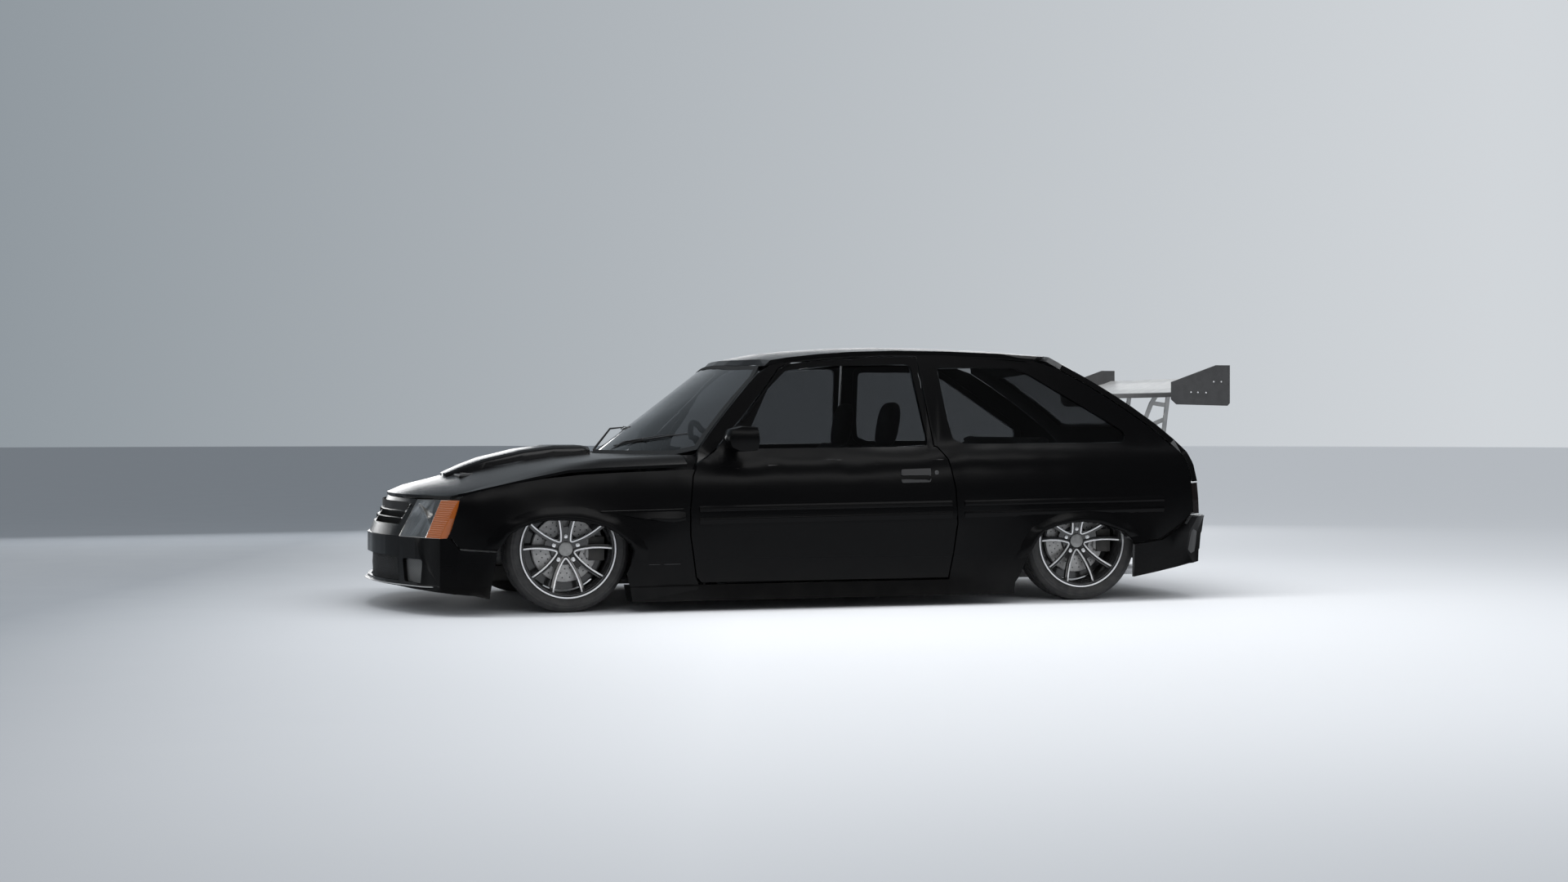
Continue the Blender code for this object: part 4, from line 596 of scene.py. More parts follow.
def nose_plan(y):
    """How far forward the bumper's face lies at a distance from the car's middle."""
    far = abs(y)
    for (ya, sa), (yb, sb) in zip(NOSE_PLAN, NOSE_PLAN[1:]):
        if far <= yb or yb == NOSE_PLAN[-1][0]:
            return sa + (sb - sa) * (far - ya) / (yb - ya)
    return NOSE_PLAN[-1][1]


def round_plan(bm):
    """Cuts the bumper into narrow strips and rounds the corners of its plan."""
    cut_lines(bm, "Y", steps(-0.70, 0.70, 0.020))
    for vert in bm.verts:
        y = vert.co.y
        if abs(y) < 0.70 and vert.co.x < -0.40:
            near = [nose_plan(y + 0.01 * k) for k in range(-6, 7)]
            vert.co.x += sum(near) / len(near) - nose_plan(y)
    return bm


def panel(name, away, inside, body="body", soft=None, axes="XZ", along="Y", rounds=12):
    """A painted panel with a lined inner side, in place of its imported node."""
    bm = node_mesh(name)
    if soft:
        softened(bm, away, axes, soft, along, rounds)
    if name == "front_bumper":
        round_plan(bm)
    lined(bm, away)
    made = piece(name + "_shell", bm, body, ["black_paint", inside], [name],
                 30, recalc=False)
    return blended(made, away) if soft else weighted(made)


def blended(made, away, reach=0.07):
    """Shades a panel's outer skin with normals averaged over a short reach."""
    mesh = made.data
    outer = [p for p in mesh.polygons if p.normal.dot(away(p.center).normalized()) > 0.35]
    tree = KDTree(len(outer))
    for k, polygon in enumerate(outer):
        tree.insert(polygon.center, k)
    tree.balance()
    normals = [corner.vector.copy() for corner in mesh.corner_normals]
    for polygon in outer:
        for corner in polygon.loop_indices:
            place = mesh.vertices[mesh.loops[corner].vertex_index].co
            total = polygon.normal * polygon.area * 0.1
            for _, k, far in tree.find_range(place, reach):
                total += outer[k].normal * outer[k].area * (1.0 - far / reach)
            normals[corner] = total.normalized()
    mesh.normals_split_custom_set(normals)
    return made


def laid_on(bm, skin, side, lift):
    """Moves every point of a flat side view onto the car's side, a little above it."""
    for vert in bm.verts:
        vert.co.y = side * (skin.side(vert.co.x, vert.co.z, side) + lift)
    return bm


def side_strip(name, line, side, skin, half, proud, body, look, start=None, end=None,
               section=None):
    """A moulding along a line of (s, z) points on the car's side, half-round unless given."""
    spots = []
    for one, two in zip(line, line[1:]):
        spots += filled((one, two), max(1, round(math.dist(one, two) / 0.03)))
    spots.append(line[-1])
    spots = [p for p in spots if (start is None or p[0] >= start) and (end is None or p[0] <= end)]
    points = [(s, side * skin.side(s, z, side), z) for s, z in spots]
    section = section or [(-0.001, -half), (proud * 0.7, -half * 0.7), (proud, 0.0),
                          (proud * 0.7, half * 0.7), (-0.001, half)]
    bm = sweep(points, [(a * -side, b) for a, b in section])
    return piece(name, bm, body, look, angle=50)


class HATCHBACK_OT_body_panels(bpy.types.Operator):
    """Paint the roof, body sides, fenders, doors, lids and bumpers, and line their inner sides"""
    bl_idname = "hatchback.body_panels"
    bl_label = "Body panels"

    def execute(self, context):
        for word in SIDES:
            panel("body_side_" + word, sideways, "cabin_plastic",
                  soft=[(0.5, 2.95), (0.06, 0.66)])
            panel("fender_" + word, sideways, "under_paint", soft=[(-0.5, 0.5), (0.20, 0.58)])
            panel("door_" + word, sideways, "cabin_plastic", "door_" + word,
                  [(0.55, 1.7), (0.16, 0.66)])
        panel("roof", upwards, "cabin_plastic")
        panel("hood", upwards, "under_paint", "hood")
        panel("hatch", behind, "cabin_plastic", "hatch")
        panel("front_bumper", round_nose, "black_plastic")
        panel("rear_bumper", round_tail, "black_plastic", "body", [(-0.70, 0.70)], "Y", "X", 6)
        cowl = node_mesh("cowl")
        bmesh.ops.bisect_plane(cowl, geom=cowl.verts[:] + cowl.edges[:] + cowl.faces[:],
                               dist=1e-5, plane_co=(0, 0, 0.6553), plane_no=(0, 0, 1),
                               clear_outer=True)
        bmesh.ops.holes_fill(cowl, edges=[e for e in cowl.edges if e.is_boundary])
        weighted(piece("cowl_shell", cowl, "body", "black_plastic", ["cowl"], 30,
                       recalc=False))
        return {"FINISHED"}


# How far each row of a flare lies from the arch, and how far it stands off the panel
FLARE = [(0.0015, -0.004), (0.0015, 0.004), (0.004, 0.0130), (0.012, 0.0185), (0.022, 0.0170),
         (0.038, 0.0100), (0.054, 0.0030), (0.066, -0.0010)]
# Sections of the flank's mouldings: outwards, upwards
FLANK_RIB = [(-0.001, -0.0130), (0.0045, -0.0095), (0.0075, -0.0035), (0.0068, 0.0015),
             (0.0030, 0.0085), (-0.001, 0.0150)]
FLANK_LEDGE = [(-0.001, -0.0200), (0.0016, -0.0100), (0.0042, -0.0020), (0.0050, 0.0020),
               (0.0020, 0.0080), (-0.001, 0.0135)]
# Where the scallop starts and ends at a few places along the fender, and how far it leans out
SCALLOP = [(0.160, 0.4230, 0.4180, 0.0020), (0.240, 0.4240, 0.4020, 0.0060),
           (0.320, 0.4255, 0.3870, 0.0095), (0.400, 0.4270, 0.3780, 0.0110),
           (0.455, 0.4280, 0.3760, 0.0110), (0.490, 0.4290, 0.3860, 0.0040)]
ARCH_REAR = [(2.035, 0.205), (2.080, 0.280), (2.113, 0.318), (2.179, 0.341), (2.235, 0.351),
             (2.292, 0.355), (2.373, 0.348), (2.445, 0.327), (2.498, 0.309), (2.545, 0.270)]
ARCH_FRONT = [(-0.300, 0.273), (-0.252, 0.336), (-0.209, 0.361), (-0.166, 0.378),
              (-0.097, 0.391), (-0.027, 0.391), (0.030, 0.386), (0.095, 0.372), (0.139, 0.363),
              (0.183, 0.339), (0.245, 0.294), (0.264, 0.262), (0.254, 0.205)]


class HATCHBACK_OT_side_trim(bpy.types.Operator):
    """Lay the flared arches, the flank's ribs, handles, locks and gutters on the sides"""
    bl_idname = "hatchback.side_trim"
    bl_label = "Side trim"

    def execute(self, context):
        for word, side in SIDES.items():
            fixed = Skin("body_side_" + word, "fender_" + word, "roof")
            door = Skin("door_" + word)
            self.handle(word, side, door)
            self.gutter(word, side, Skin("body_side_" + word, "roof", "door_" + word))
            self.mouldings(word, side, fixed, door)
            self.arch_lips(word, side, fixed)
            self.fender_marks(word, side, fixed)
        return {"FINISHED"}

    def handle(self, word, side, door):
        """A pull bar across a shallow round-cornered dish, with the lock behind it."""
        swings = "door_" + word
        rim = ribbon(soft_corners([(1.449, 0.530), (1.593, 0.533), (1.593, 0.600), (1.449, 0.596)],
                                  0.014), "XZ", 0.0035)
        dish = flat_outline(soft_corners([(1.4525, 0.5335), (1.5895, 0.5365), (1.5895, 0.5965),
                                          (1.4525, 0.5925)], 0.012), "XZ")
        flap = flat_outline(soft_corners([(1.4535, 0.5655), (1.5885, 0.5680), (1.5885, 0.5965),
                                          (1.4535, 0.5925)], 0.006), "XZ")
        for label, bm, lift, wall, look, slot in (
                ("rim_", rim, 0.0012, 0.002, "black_paint", "black_paint"),
                ("dish_", dish, 0.0006, 0.001, "soft_rubber", None),
                ("flap_", flap, 0.0075, 0.005, "black_plastic", "black_plastic")):
            piece(f"handle_{label}{word}", walled(laid_on(bm, door, side, lift), wall), swings,
                  look)
        y = side * door.side(1.617, 0.578, side)
        lock = spun([(0.0, -0.002), (0.0095, -0.002), (0.0095, 0.0015), (0.0080, 0.0025),
                     (0.0, 0.0025)], count=20)
        # The key slot is a small dark box on the lock: painted shade in the slot
        slot_shade = rounded_box((-0.0012, 0.0020, -0.005), (0.0012, 0.0030, 0.005), 0.0003, 1)
        for bm, label, look in ((lock, "lock_", "plate_metal"),
                                (slot_shade, "lock_slot_shade_", "soft_rubber")):
            piece(label + word, moved(mirrored(bm, side), (1.617, y, 0.578)), swings, look)

    def gutter(self, word, side, fixed):
        """The drip rail that follows the top of the side windows."""
        line = [(0.700, 0.728), (0.790, 0.824), (0.872, 0.914), (0.965, 1.030), (1.020, 1.060),
                (1.150, 1.075), (1.437, 1.092), (1.700, 1.092), (2.000, 1.082), (2.160, 1.070)]
        points = []
        for s, z in filled(line, 4):
            y = fixed.side(s, z, side, None)
            if y is not None and y < MIRROR_Y:
                points.append((s, side * (y + 0.0008), z))
        section = [(-0.003, -0.003), (0.0045, -0.003), (0.0055, 0.0), (0.0045, 0.002),
                   (-0.003, 0.002)]
        bm = sweep(points, [(a * -side, b) for a, b in section])
        piece("gutter_" + word, bm, "body", "black_paint", angle=50)

    def mouldings(self, word, side, fixed, door):
        """The soft rib along the flank, and the ledge below it that fades downwards."""
        rib = [(0.520, 0.4290), (1.560, 0.4400), (2.740, 0.4520)]
        ledge = [(0.520, 0.3860), (1.560, 0.3970), (2.740, 0.4090)]
        for label, line, section in (("rib", rib, FLANK_RIB), ("ledge", ledge, FLANK_LEDGE)):
            side_strip(f"flank_{label}_door_{word}", line, side, door, 0, 0, "door_" + word,
                       "black_paint", 0.545, 1.690, section)
            side_strip(f"flank_{label}_rear_{word}", line, side, fixed, 0, 0, "body",
                       "black_paint", 1.715, 2.730, section)

    def arch_lips(self, word, side, fixed):
        """The flared edge of each wheel arch, which fades into the panel above it."""
        for label, arch in (("front", ARCH_FRONT), ("rear", ARCH_REAR)):
            middle = Vector((FRONT_AXLE if label == "front" else REAR_AXLE, WHEEL_Z))
            spots = [Vector(spot) for spot in filled(arch, 3)]
            bm = bmesh.new()
            row = []
            for reach, lift in FLARE:
                line = []
                for k, spot in enumerate(spots):
                    fade = max(0.0, math.sin(math.pi * k / (len(spots) - 1))) ** 0.35
                    out = spot + (spot - middle).normalized() * reach
                    y = fixed.side(out.x, out.y, side, None) or 0.742
                    line.append((out.x, side * (y + lift * fade), out.y))
                if not row:
                    row = [bm.verts.new(point) for point in line]
                    edges = [bm.edges.new(pair) for pair in zip(row, row[1:])]
                    continue
                made = bmesh.ops.extrude_edge_only(bm, edges=edges)["geom"]
                edges = [e for e in made if isinstance(e, bmesh.types.BMEdge)
                         and all(v not in row for v in e.verts)]
                fresh = [v for v in made if isinstance(v, bmesh.types.BMVert)]
                fresh = [min(fresh, key=lambda v: (v.co - old.co).length) for old in row]
                for vert, point in zip(fresh, line):
                    vert.co = point
                row = fresh
            piece(f"arch_lip_{label}_{word}", bm, "body", "black_paint", angle=60)

    def fender_marks(self, word, side, fixed):
        """The blade over the fender's scallop, and the short seam low behind the wheel, whose rubber
        is lighter than the paint as a painted highlight along it.
        """
        bm = bmesh.new()
        rows = []
        for s, high, low, deep in SCALLOP:
            row = []
            for k in range(7):
                z = high + (low - high) * k / 6
                lift = -0.0012 + deep * (k / 5 if k < 6 else 0.0)
                y = fixed.side(s, z, side) + lift
                row.append(bm.verts.new((s, side * y, z)))
            rows.append(row)
        for one, two in zip(rows, rows[1:]):
            for k in range(6):
                bm.faces.new((one[k], one[k + 1], two[k + 1], two[k]))
        piece("fender_scallop_" + word, bm, "body", "black_paint", angle=70)
        side_strip("fender_blade_" + word, [(0.125, 0.4265), (0.300, 0.4290), (0.478, 0.4330)],
                   side, fixed, 0.0030, 0.0060, "body", "black_paint")
        # The seam's strip is raised a little, and its lighter rubber paints the highlight along it
        side_strip("sill_seam_highlight_" + word, [(0.330, 0.201), (0.470, 0.201)], side, fixed, 0.0012,
                   0.0008, "body", "soft_rubber")


def soft_corners(points, radius, count=4):
    """An outline with its corners cut to arcs."""
    made = []
    for i, corner in enumerate(points):
        corner = Vector(corner)
        before = Vector(points[i - 1]) - corner
        after = Vector(points[(i + 1) % len(points)]) - corner
        reach = min(radius, before.length * 0.45, after.length * 0.45)
        start, end = corner + before.normalized() * reach, corner + after.normalized() * reach
        for k in range(count + 1):
            t = k / count
            spot = start * (1 - t) ** 2 + corner * 2 * t * (1 - t) + end * t ** 2
            made.append(tuple(spot))
    return made


# Glass

DOOR_GLASS = [(0.755, 0.682), (0.899, 0.939), (0.988, 1.020), (1.144, 1.040), (1.566, 1.052),
              (1.605, 0.690)]
QUARTER_GLASS = [(1.708, 0.804), (1.688, 1.038), (2.065, 1.036), (2.135, 1.004), (2.551, 0.757),
                 (2.561, 0.729), (2.541, 0.705), (1.777, 0.701), (1.723, 0.721)]
HATCH_GLASS = [(-0.500, 0.790), (0.500, 0.790), (0.420, 1.030), (0.0, 1.045), (-0.420, 1.030)]


def window_seal(name, outline, side, skin, body, width=0.011):
    """A rubber frame round the edge of a side window, level with the glass, grey as a painted
    highlight along the rubber.
    """
    band = ribbon(soft_corners(outline, 0.014, 3), "XZ", width)
    cut_lines(band, "X", steps(0.75, 2.55, 0.06))
    laid_on(band, skin, side, 0.0012)
    walled(band, 0.002)
    return piece(name, band, body, "grey_seal", angle=40)


def window_trim(name, outline, side, skin, body, width=0.026):
    """A pale frame round a side window, on the cabin's side of the panel."""
    centre = Vector([sum(p[k] for p in outline) / len(outline) for k in range(2)])
    grown = []
    for k, point in enumerate(outline):
        ahead = (Vector(outline[(k + 1) % len(outline)]) - Vector(point)).normalized()
        back = (Vector(outline[k - 1]) - Vector(point)).normalized()
        away = -(ahead + back)
        if away.length < 0.02 or away.dot(Vector(point) - centre) < 0:
            away = Vector(point) - centre
        sharp = max(0.5, abs(ahead.cross(away.normalized())))
        grown.append(Vector(point) + away.normalized() * width / sharp)
    bm = ribbon(soft_corners([tuple(p) for p in grown], 0.040, 4), "XZ", width)
    cut_lines(bm, "X", steps(0.70, 2.60, 0.08))
    cut_lines(bm, "Z", steps(0.66, 1.08, 0.05))
    for vert in bm.verts:
        spot = Vector((vert.co.x, vert.co.z))
        spot += (spot - centre).normalized() * 0.006
        near = skin.inside(spot.x, spot.y, side, 0.60)
        vert.co.y = side * (near - 0.0035)
    thicken(bm, 0.003, (0, side, 0))
    return piece(name, bm, body, "pale_trim", angle=40)


class HATCHBACK_OT_windows(bpy.types.Operator):
    """Glaze the windows with tinted glass and frame them with rubber"""
    bl_idname = "hatchback.windows"
    bl_label = "Windows"

    def execute(self, context):
        for word, side in SIDES.items():
            for node, body in (("door_glass_", "door_"), ("quarter_glass_", None)):
                weighted(piece(node + "pane_" + word, node_mesh(node + word),
                               body + word if body else "body", "tinted_glass",
                               [node + word], recalc=False))
            window_seal("door_glass_seal_" + word, DOOR_GLASS, side, Skin("door_glass_" + word),
                        "door_" + word)
            window_seal("quarter_glass_seal_" + word, QUARTER_GLASS, side,
                        Skin("quarter_glass_" + word), "body")
            lining = Skin("door_" + word, "body_side_" + word, "roof")
            window_trim("door_aperture_seal_" + word, DOOR_GLASS, side, lining, "body")
            window_trim("quarter_glass_trim_" + word, QUARTER_GLASS, side, lining, "body")
        weighted(piece("windscreen_pane", node_mesh("windscreen"), "body", "tinted_glass",
                       ["windscreen"], recalc=False))
        weighted(piece("hatch_glass_pane", node_mesh("hatch_glass"), "hatch", "tinted_glass",
                       ["hatch_glass"], recalc=False))
        self.screen_frame()
        self.hatch_frame()
        return {"FINISHED"}

    def screen_frame(self):
        """The black border painted round the windscreen, taken from the pane's own outline."""
        bm = node_mesh("windscreen")
        outer = [f for f in bm.faces if f.normal.z > 0.3 and f.normal.x < -0.2]
        others = [f for f in bm.faces if f not in set(outer)]
        without(bm, others)
        bmesh.ops.dissolve_limit(bm, angle_limit=math.radians(0.2), verts=bm.verts,
                                 edges=bm.edges)
        moved(rim_only(bm, 0.026), (-0.0004, 0, 0.0010))
        piece("windscreen_border", bm, "body", "frit", recalc=False)

    def hatch_frame(self):
        """The rubber round the hatch's pane."""
        skin = Skin("hatch_glass")
        band = ribbon(soft_corners(HATCH_GLASS, 0.03, 4), "YZ", 0.014)
        cut_lines(band, "Y", steps(-0.5, 0.5, 0.06))
        for vert in band.verts:
            vert.co.x = skin.back(vert.co.y, vert.co.z, 2.45) + 0.0012
        walled(band, 0.002)
        piece("hatch_glass_seal", band, "hatch", "soft_rubber")


# Lamps, grille and bumpers

def lamp_face(name, test):
    """The outer face of a lamp's block, by the way that its faces look."""
    bm = node_mesh(name)
    return without(bm, [f for f in bm.faces if not test(f)])


def lamp_pan(name, test):
    """The rest of a lamp's block: its tray, open at the front."""
    bm = node_mesh(name)
    return walled(without(bm, [f for f in bm.faces if test(f)]), 0.0015)


def outer_of_lamp(side):
    """Tells a lamp's glass by the way that its faces look."""
    way = Vector((-0.75, side * 0.66, 0.0))
    return lambda face: face.normal.dot(way) > 0.50 and abs(face.normal.z) < 0.9


class HATCHBACK_OT_front_lamps(bpy.types.Operator):
    """Build the headlamps behind clear lenses, and the ribbed amber indicators beside them"""
    bl_idname = "hatchback.front_lamps"
    bl_label = "Front lamps"

    def execute(self, context):
        for word, side in SIDES.items():
            self.headlamp(word, side)
            self.indicator(word, side)
        return {"FINISHED"}

    def lens(self, name, side, look, slot):
        """The glass over the front of a lamp, and the tray behind it."""
        glass = walled(lamp_face(name, outer_of_lamp(side)), 0.003)
        piece(name + "_lens", glass, "body", look, [name])
        piece(name + "_tray", lamp_pan(name, outer_of_lamp(side)), "body", "reflector")

    def headlamp(self, word, side):
        """A bowl and its bulb behind a clear lens with fine upright flutes."""
        name = "headlamp_" + word
        self.lens(name, side, "clear_lens", "headlamp_lens")
        y, z, radius, depth = side * 0.500, 0.400, 0.062, 0.020
        face = Skin(name).front(y, z) + 0.006
        bowl = [(radius * (k / 8), depth * (1 - (k / 8) ** 2)) for k in range(9)]
        back = [(r + 0.001, a + 0.0015) for r, a in reversed(bowl)]
        bulb = [(0.0, 0.0), (0.010, 0.003), (0.012, 0.010), (0.012, 0.022), (0.0, 0.022)]
        lean = Matrix.Rotation(math.radians(-24), 4, "Y")
        for label, profile, count, set_back, look in (
                ("bowl", bowl + back, 40, 0.018, "reflector"),
                ("bulb", bulb, 20, 0.016, "bright_metal")):
            bm = turned(spun(profile, axis="X", count=count), lean)
            piece(f"{name}_{label}_main", moved(bm, (face + set_back, y, z)), "body", look)
        rib = []
        for k in range(6):
            y = side * (0.432 + 0.027 * k)
            low = Vector((Skin(name).front(y, 0.326) + 0.0050, y, 0.326))
            high = Vector((Skin(name).front(y, 0.464) + 0.0050, y, 0.464))
            rib.append(bar(low, high, 0.0011, 6))
        piece(name + "_flutes", joined(rib), "body", "clear_lens")

    def indicator(self, word, side):
        """An amber lens with level ribs."""
        name = "indicator_" + word
        self.lens(name, side, "amber_lens", "amber_lens")
        skin = Skin(name)
        ribs = []
        for k in range(17):
            z = 0.3265 + k * 0.0088
            points = []
            for j in range(7):
                near = 0.6100 - (z - 0.3183) * 0.1477 + 0.003
                far = 0.690 + min(0.0, (0.40 - z) * 0.05)
                y = near + (far - near) * j / 6
                points.append((skin.front(side * y, z) - 0.0004, side * y, z))
            section = [(-0.0007, -0.0030), (0.0010, 0.0), (-0.0007, 0.0030)]
            ribs.append(sweep(points, [(a * -side, b) for a, b in section]))
        piece(name + "_ribs", joined(ribs), "body", "amber_lens", angle=60)


def mesh_sheet(name, y_range, z_range, pitch, place, body, look, wire=0.0010):
    """A woven-wire mesh of crossed diagonal wires. place sets a point on its surface."""
    wires = []
    (y0, y1), (z0, z1) = y_range, z_range
    height = z1 - z0
    for hand in (-1, 1):
        count = int((y1 - y0 + height) / pitch)
        for k in range(1, count):
            start = y0 - height + k * pitch
            ends = []
            low = max(start, y0)
            high = min(start + height, y1)
            if high - low < pitch * 0.4:
                continue
            for y in (low, (low + high) / 2, high):
                z = z0 + (y - start)
                ends.append((y if hand > 0 else y0 + y1 - y, z))
            points = [place(y, z) for y, z in ends]
            for a, b in zip(points, points[1:]):
                wires.append(bar(a, b, wire, 4))
    return piece(name, joined(wires), body, look)


class HATCHBACK_OT_grille(bpy.types.Operator):
    """Fit the grille with its slats, and the bumper openings with wire mesh"""
    bl_idname = "hatchback.grille"
    bl_label = "Grille and bumper mesh"

    def execute(self, context):
        weighted(piece("grille_frame", node_mesh("grille"), "body", "black_paint",
                       ["grille"], recalc=False))

        def nose(y, z):
            return (nose_plan(y) + 0.024, y, z)

        mesh_sheet("bumper_mesh", (-0.405, 0.405), (0.126, 0.241), 0.014, nose, "body",
                   "plate_metal")
        # A dark sheet behind the bumper's mesh paints the shade in the opening
        spots = [k * 0.05 for k in range(-13, 14)]
        bm = sweep([Vector(nose(y, 0.184)) + Vector((0.012, 0, 0)) for y in spots],
                   [(-0.001, -0.062), (0.001, -0.062), (0.001, 0.062), (-0.001, 0.062)])
        piece("bumper_shade_sheet", bm, "body", "deep_black")
        for word, side in SIDES.items():
            low, high = sorted((side * 0.425, side * 0.565))
            mesh_sheet("duct_mesh_" + word, (low, high), (0.124, 0.232), 0.011, nose, "body",
                       "satin_metal", 0.0008)
        grille = Skin("grille")
        for row in range(3):
            low = 0.366 + 0.029 * row
            mesh_sheet(f"grille_mesh_{row}", (-0.358, 0.358), (low - 0.003, low + 0.025), 0.011,
                       lambda y, z: (grille.front(y, 0.362 + 0.029 * row, -0.70) + 0.014, y, z),
                       "body", "deep_black", 0.0007)
        # A dark sheet behind the grille's mesh paints the shade in the opening
        spots = [k * 0.04 for k in range(-9, 10)]
        bm = sweep([(grille.front(y, 0.362, -0.70) + 0.040, y, 0.408) for y in spots],
                   [(-0.001, -0.048), (0.001, -0.048), (0.001, 0.052), (-0.001, 0.052)])
        piece("grille_shade_sheet", bm, "body", "deep_black")
        self.splitter()
        return {"FINISHED"}

    def splitter(self):
        """A pale metal strip on the lip under the bumper: a painted highlight along its edge."""
        plan = [(-0.470, 0.710)] + [(s, y) for y, s in reversed(NOSE_PLAN[:-1])]
        whole = plan + [(s, -y) for s, y in reversed(plan[:-1])]
        points = []
        for s, y in whole:
            out = Vector((s - 0.30, y * 0.8, 0)).normalized() * 0.0090
            points.append((s + out.x, y + out.y, 0.1165))
        bm = sweep(points, [(-0.0025, -0.0022), (0.0020, -0.0012), (0.0020, 0.0012),
                            (-0.0025, 0.0022)])
        piece("splitter_highlight", bm, "body", "satin_metal")


class HATCHBACK_OT_tail(bpy.types.Operator):
    """Build the tail lamps, the hatch's handle and wiper, the blank plate and the exhaust tip"""
    bl_idname = "hatchback.tail"
    bl_label = "Tail"

    def execute(self, context):
        for word, side in SIDES.items():
            self.lamp(word, side)
        hatch = Skin("hatch", "hatch_glass")
        bumper = Skin("rear_bumper")
        self.plate(hatch)
        self.handle(hatch)
        self.wiper(hatch)
        self.exhaust()
        self.bumper_trim(bumper)
        return {"FINISHED"}

    def lamp(self, word, side):
        """Red above and below a smoked band; the faces that look sideways take the same dark lens.
        Level ribs run across it.
        """
        name = "tail_lamp_" + word
        bm = node_mesh(name)
        cut_lines(bm, "Z", (0.412, 0.442, 0.486))
        for face in bm.faces:
            z = face.calc_center_median().z
            squarely = abs(face.normal.y) < 0.6
            face.material_index = 0 if squarely and (z > 0.442 or z < 0.412) else 1
        weighted(piece(name + "_lens", bm, "body", ["red_lens", "smoke_lens"],
                       [name], recalc=False))
        skin = Skin(name)
        ribs = []
        for z in (0.398, 0.412, 0.427, 0.442, 0.457, 0.471, 0.486, 0.500, 0.512):
            points = []
            for k in range(9):
                y = side * (0.512 + 0.019 * k)
                points.append((skin.back(y, z, 2.95) + 0.0002, y, z))
            section = [(-0.0008, -0.0018), (0.0010, 0.0), (-0.0008, 0.0018)]
            ribs.append(sweep(points, [(a * side, b) for a, b in section]))
        piece(name + "_ribs", joined(ribs), "body", "red_lens")

    def plate(self, hatch):
        """A blank number plate in a recess frame between the lamps."""
        s = max(hatch.back(y, z) for y in (0.0, 0.22) for z in (0.405, 0.500))
        plate = rounded_box((s + 0.001, -0.255, 0.400), (s + 0.004, 0.255, 0.508), 0.0012)
        piece("rear_plate", plate, "hatch", "blank_plate")
        rim = rounded_box((s - 0.006, -0.262, 0.394), (s + 0.0022, 0.262, 0.514), 0.0015)
        piece("rear_plate_frame", rim, "hatch", "black_plastic")

    def handle(self, hatch):
        """The grip over the plate, and the lock above it."""
        s = hatch.back(0.0, 0.555)
        grip = rounded_box((s - 0.004, -0.090, 0.538), (s + 0.012, 0.090, 0.566), 0.005, 3)
        piece("hatch_grip", grip, "hatch", "black_plastic")
        s = hatch.back(0.0, 0.610)
        lock = spun([(0.0, -0.003), (0.010, -0.003), (0.010, 0.0025), (0.008, 0.0035),
                     (0.0, 0.0035)], (s, 0.0, 0.610), "X", 20)
        piece("hatch_lock", lock, "hatch", "satin_metal")

    def wiper(self, hatch):
        """An arm that lies low on the hatch's glass, with its blade."""
        foot = Vector((hatch.back(0.06, 0.752) + 0.006, 0.06, 0.752))
        tip = Vector((hatch.back(-0.22, 0.815) + 0.010, -0.22, 0.815))
        boss = bar(foot - Vector((0.010, 0, 0)), foot + Vector((0.008, 0, 0.004)), 0.012, 16)
        piece("hatch_wiper_boss", boss, "hatch", "black_plastic")
        piece("hatch_wiper_arm", bar(foot, tip, 0.0035, 10, 0.0022), "hatch", "soft_rubber")
        low = Vector((hatch.back(-0.08, 0.800) + 0.005, -0.08, 0.800))
        high = Vector((hatch.back(-0.36, 0.828) + 0.005, -0.36, 0.828))
        piece("hatch_wiper_blade", bar(low, high, 0.0032, 8), "hatch", "soft_rubber")

    def exhaust(self):
        """A bright tip over the end of the pipe."""
        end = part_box("exhaust")[1].x - DATUM_X
        tip = spun([(0.0200, -0.090), (0.0245, -0.088), (0.0255, -0.002), (0.0245, 0.0),
                    (0.0215, 0.0), (0.0205, -0.006)], (end, 0.100, 0.080), "X", 32)
        piece("exhaust_tip", tip, "body", "bright_metal")

    def bumper_trim(self, skin):
        """Reflectors low in the rear bumper."""
        for word, side in SIDES.items():
            points = []
            for k in range(5):
                y = side * (0.500 + 0.020 * k)
                points.append((skin.back(y, 0.225, 2.98) + 0.0006, y, 0.225))
            section = [(-0.001, -0.010), (0.0018, -0.009), (0.0018, 0.009), (-0.001, 0.010)]
            bm = sweep(points, [(a * side, b) for a, b in section])
            piece("rear_reflector_" + word, bm, "body", "red_lens")


# Hood, cowl and wipers

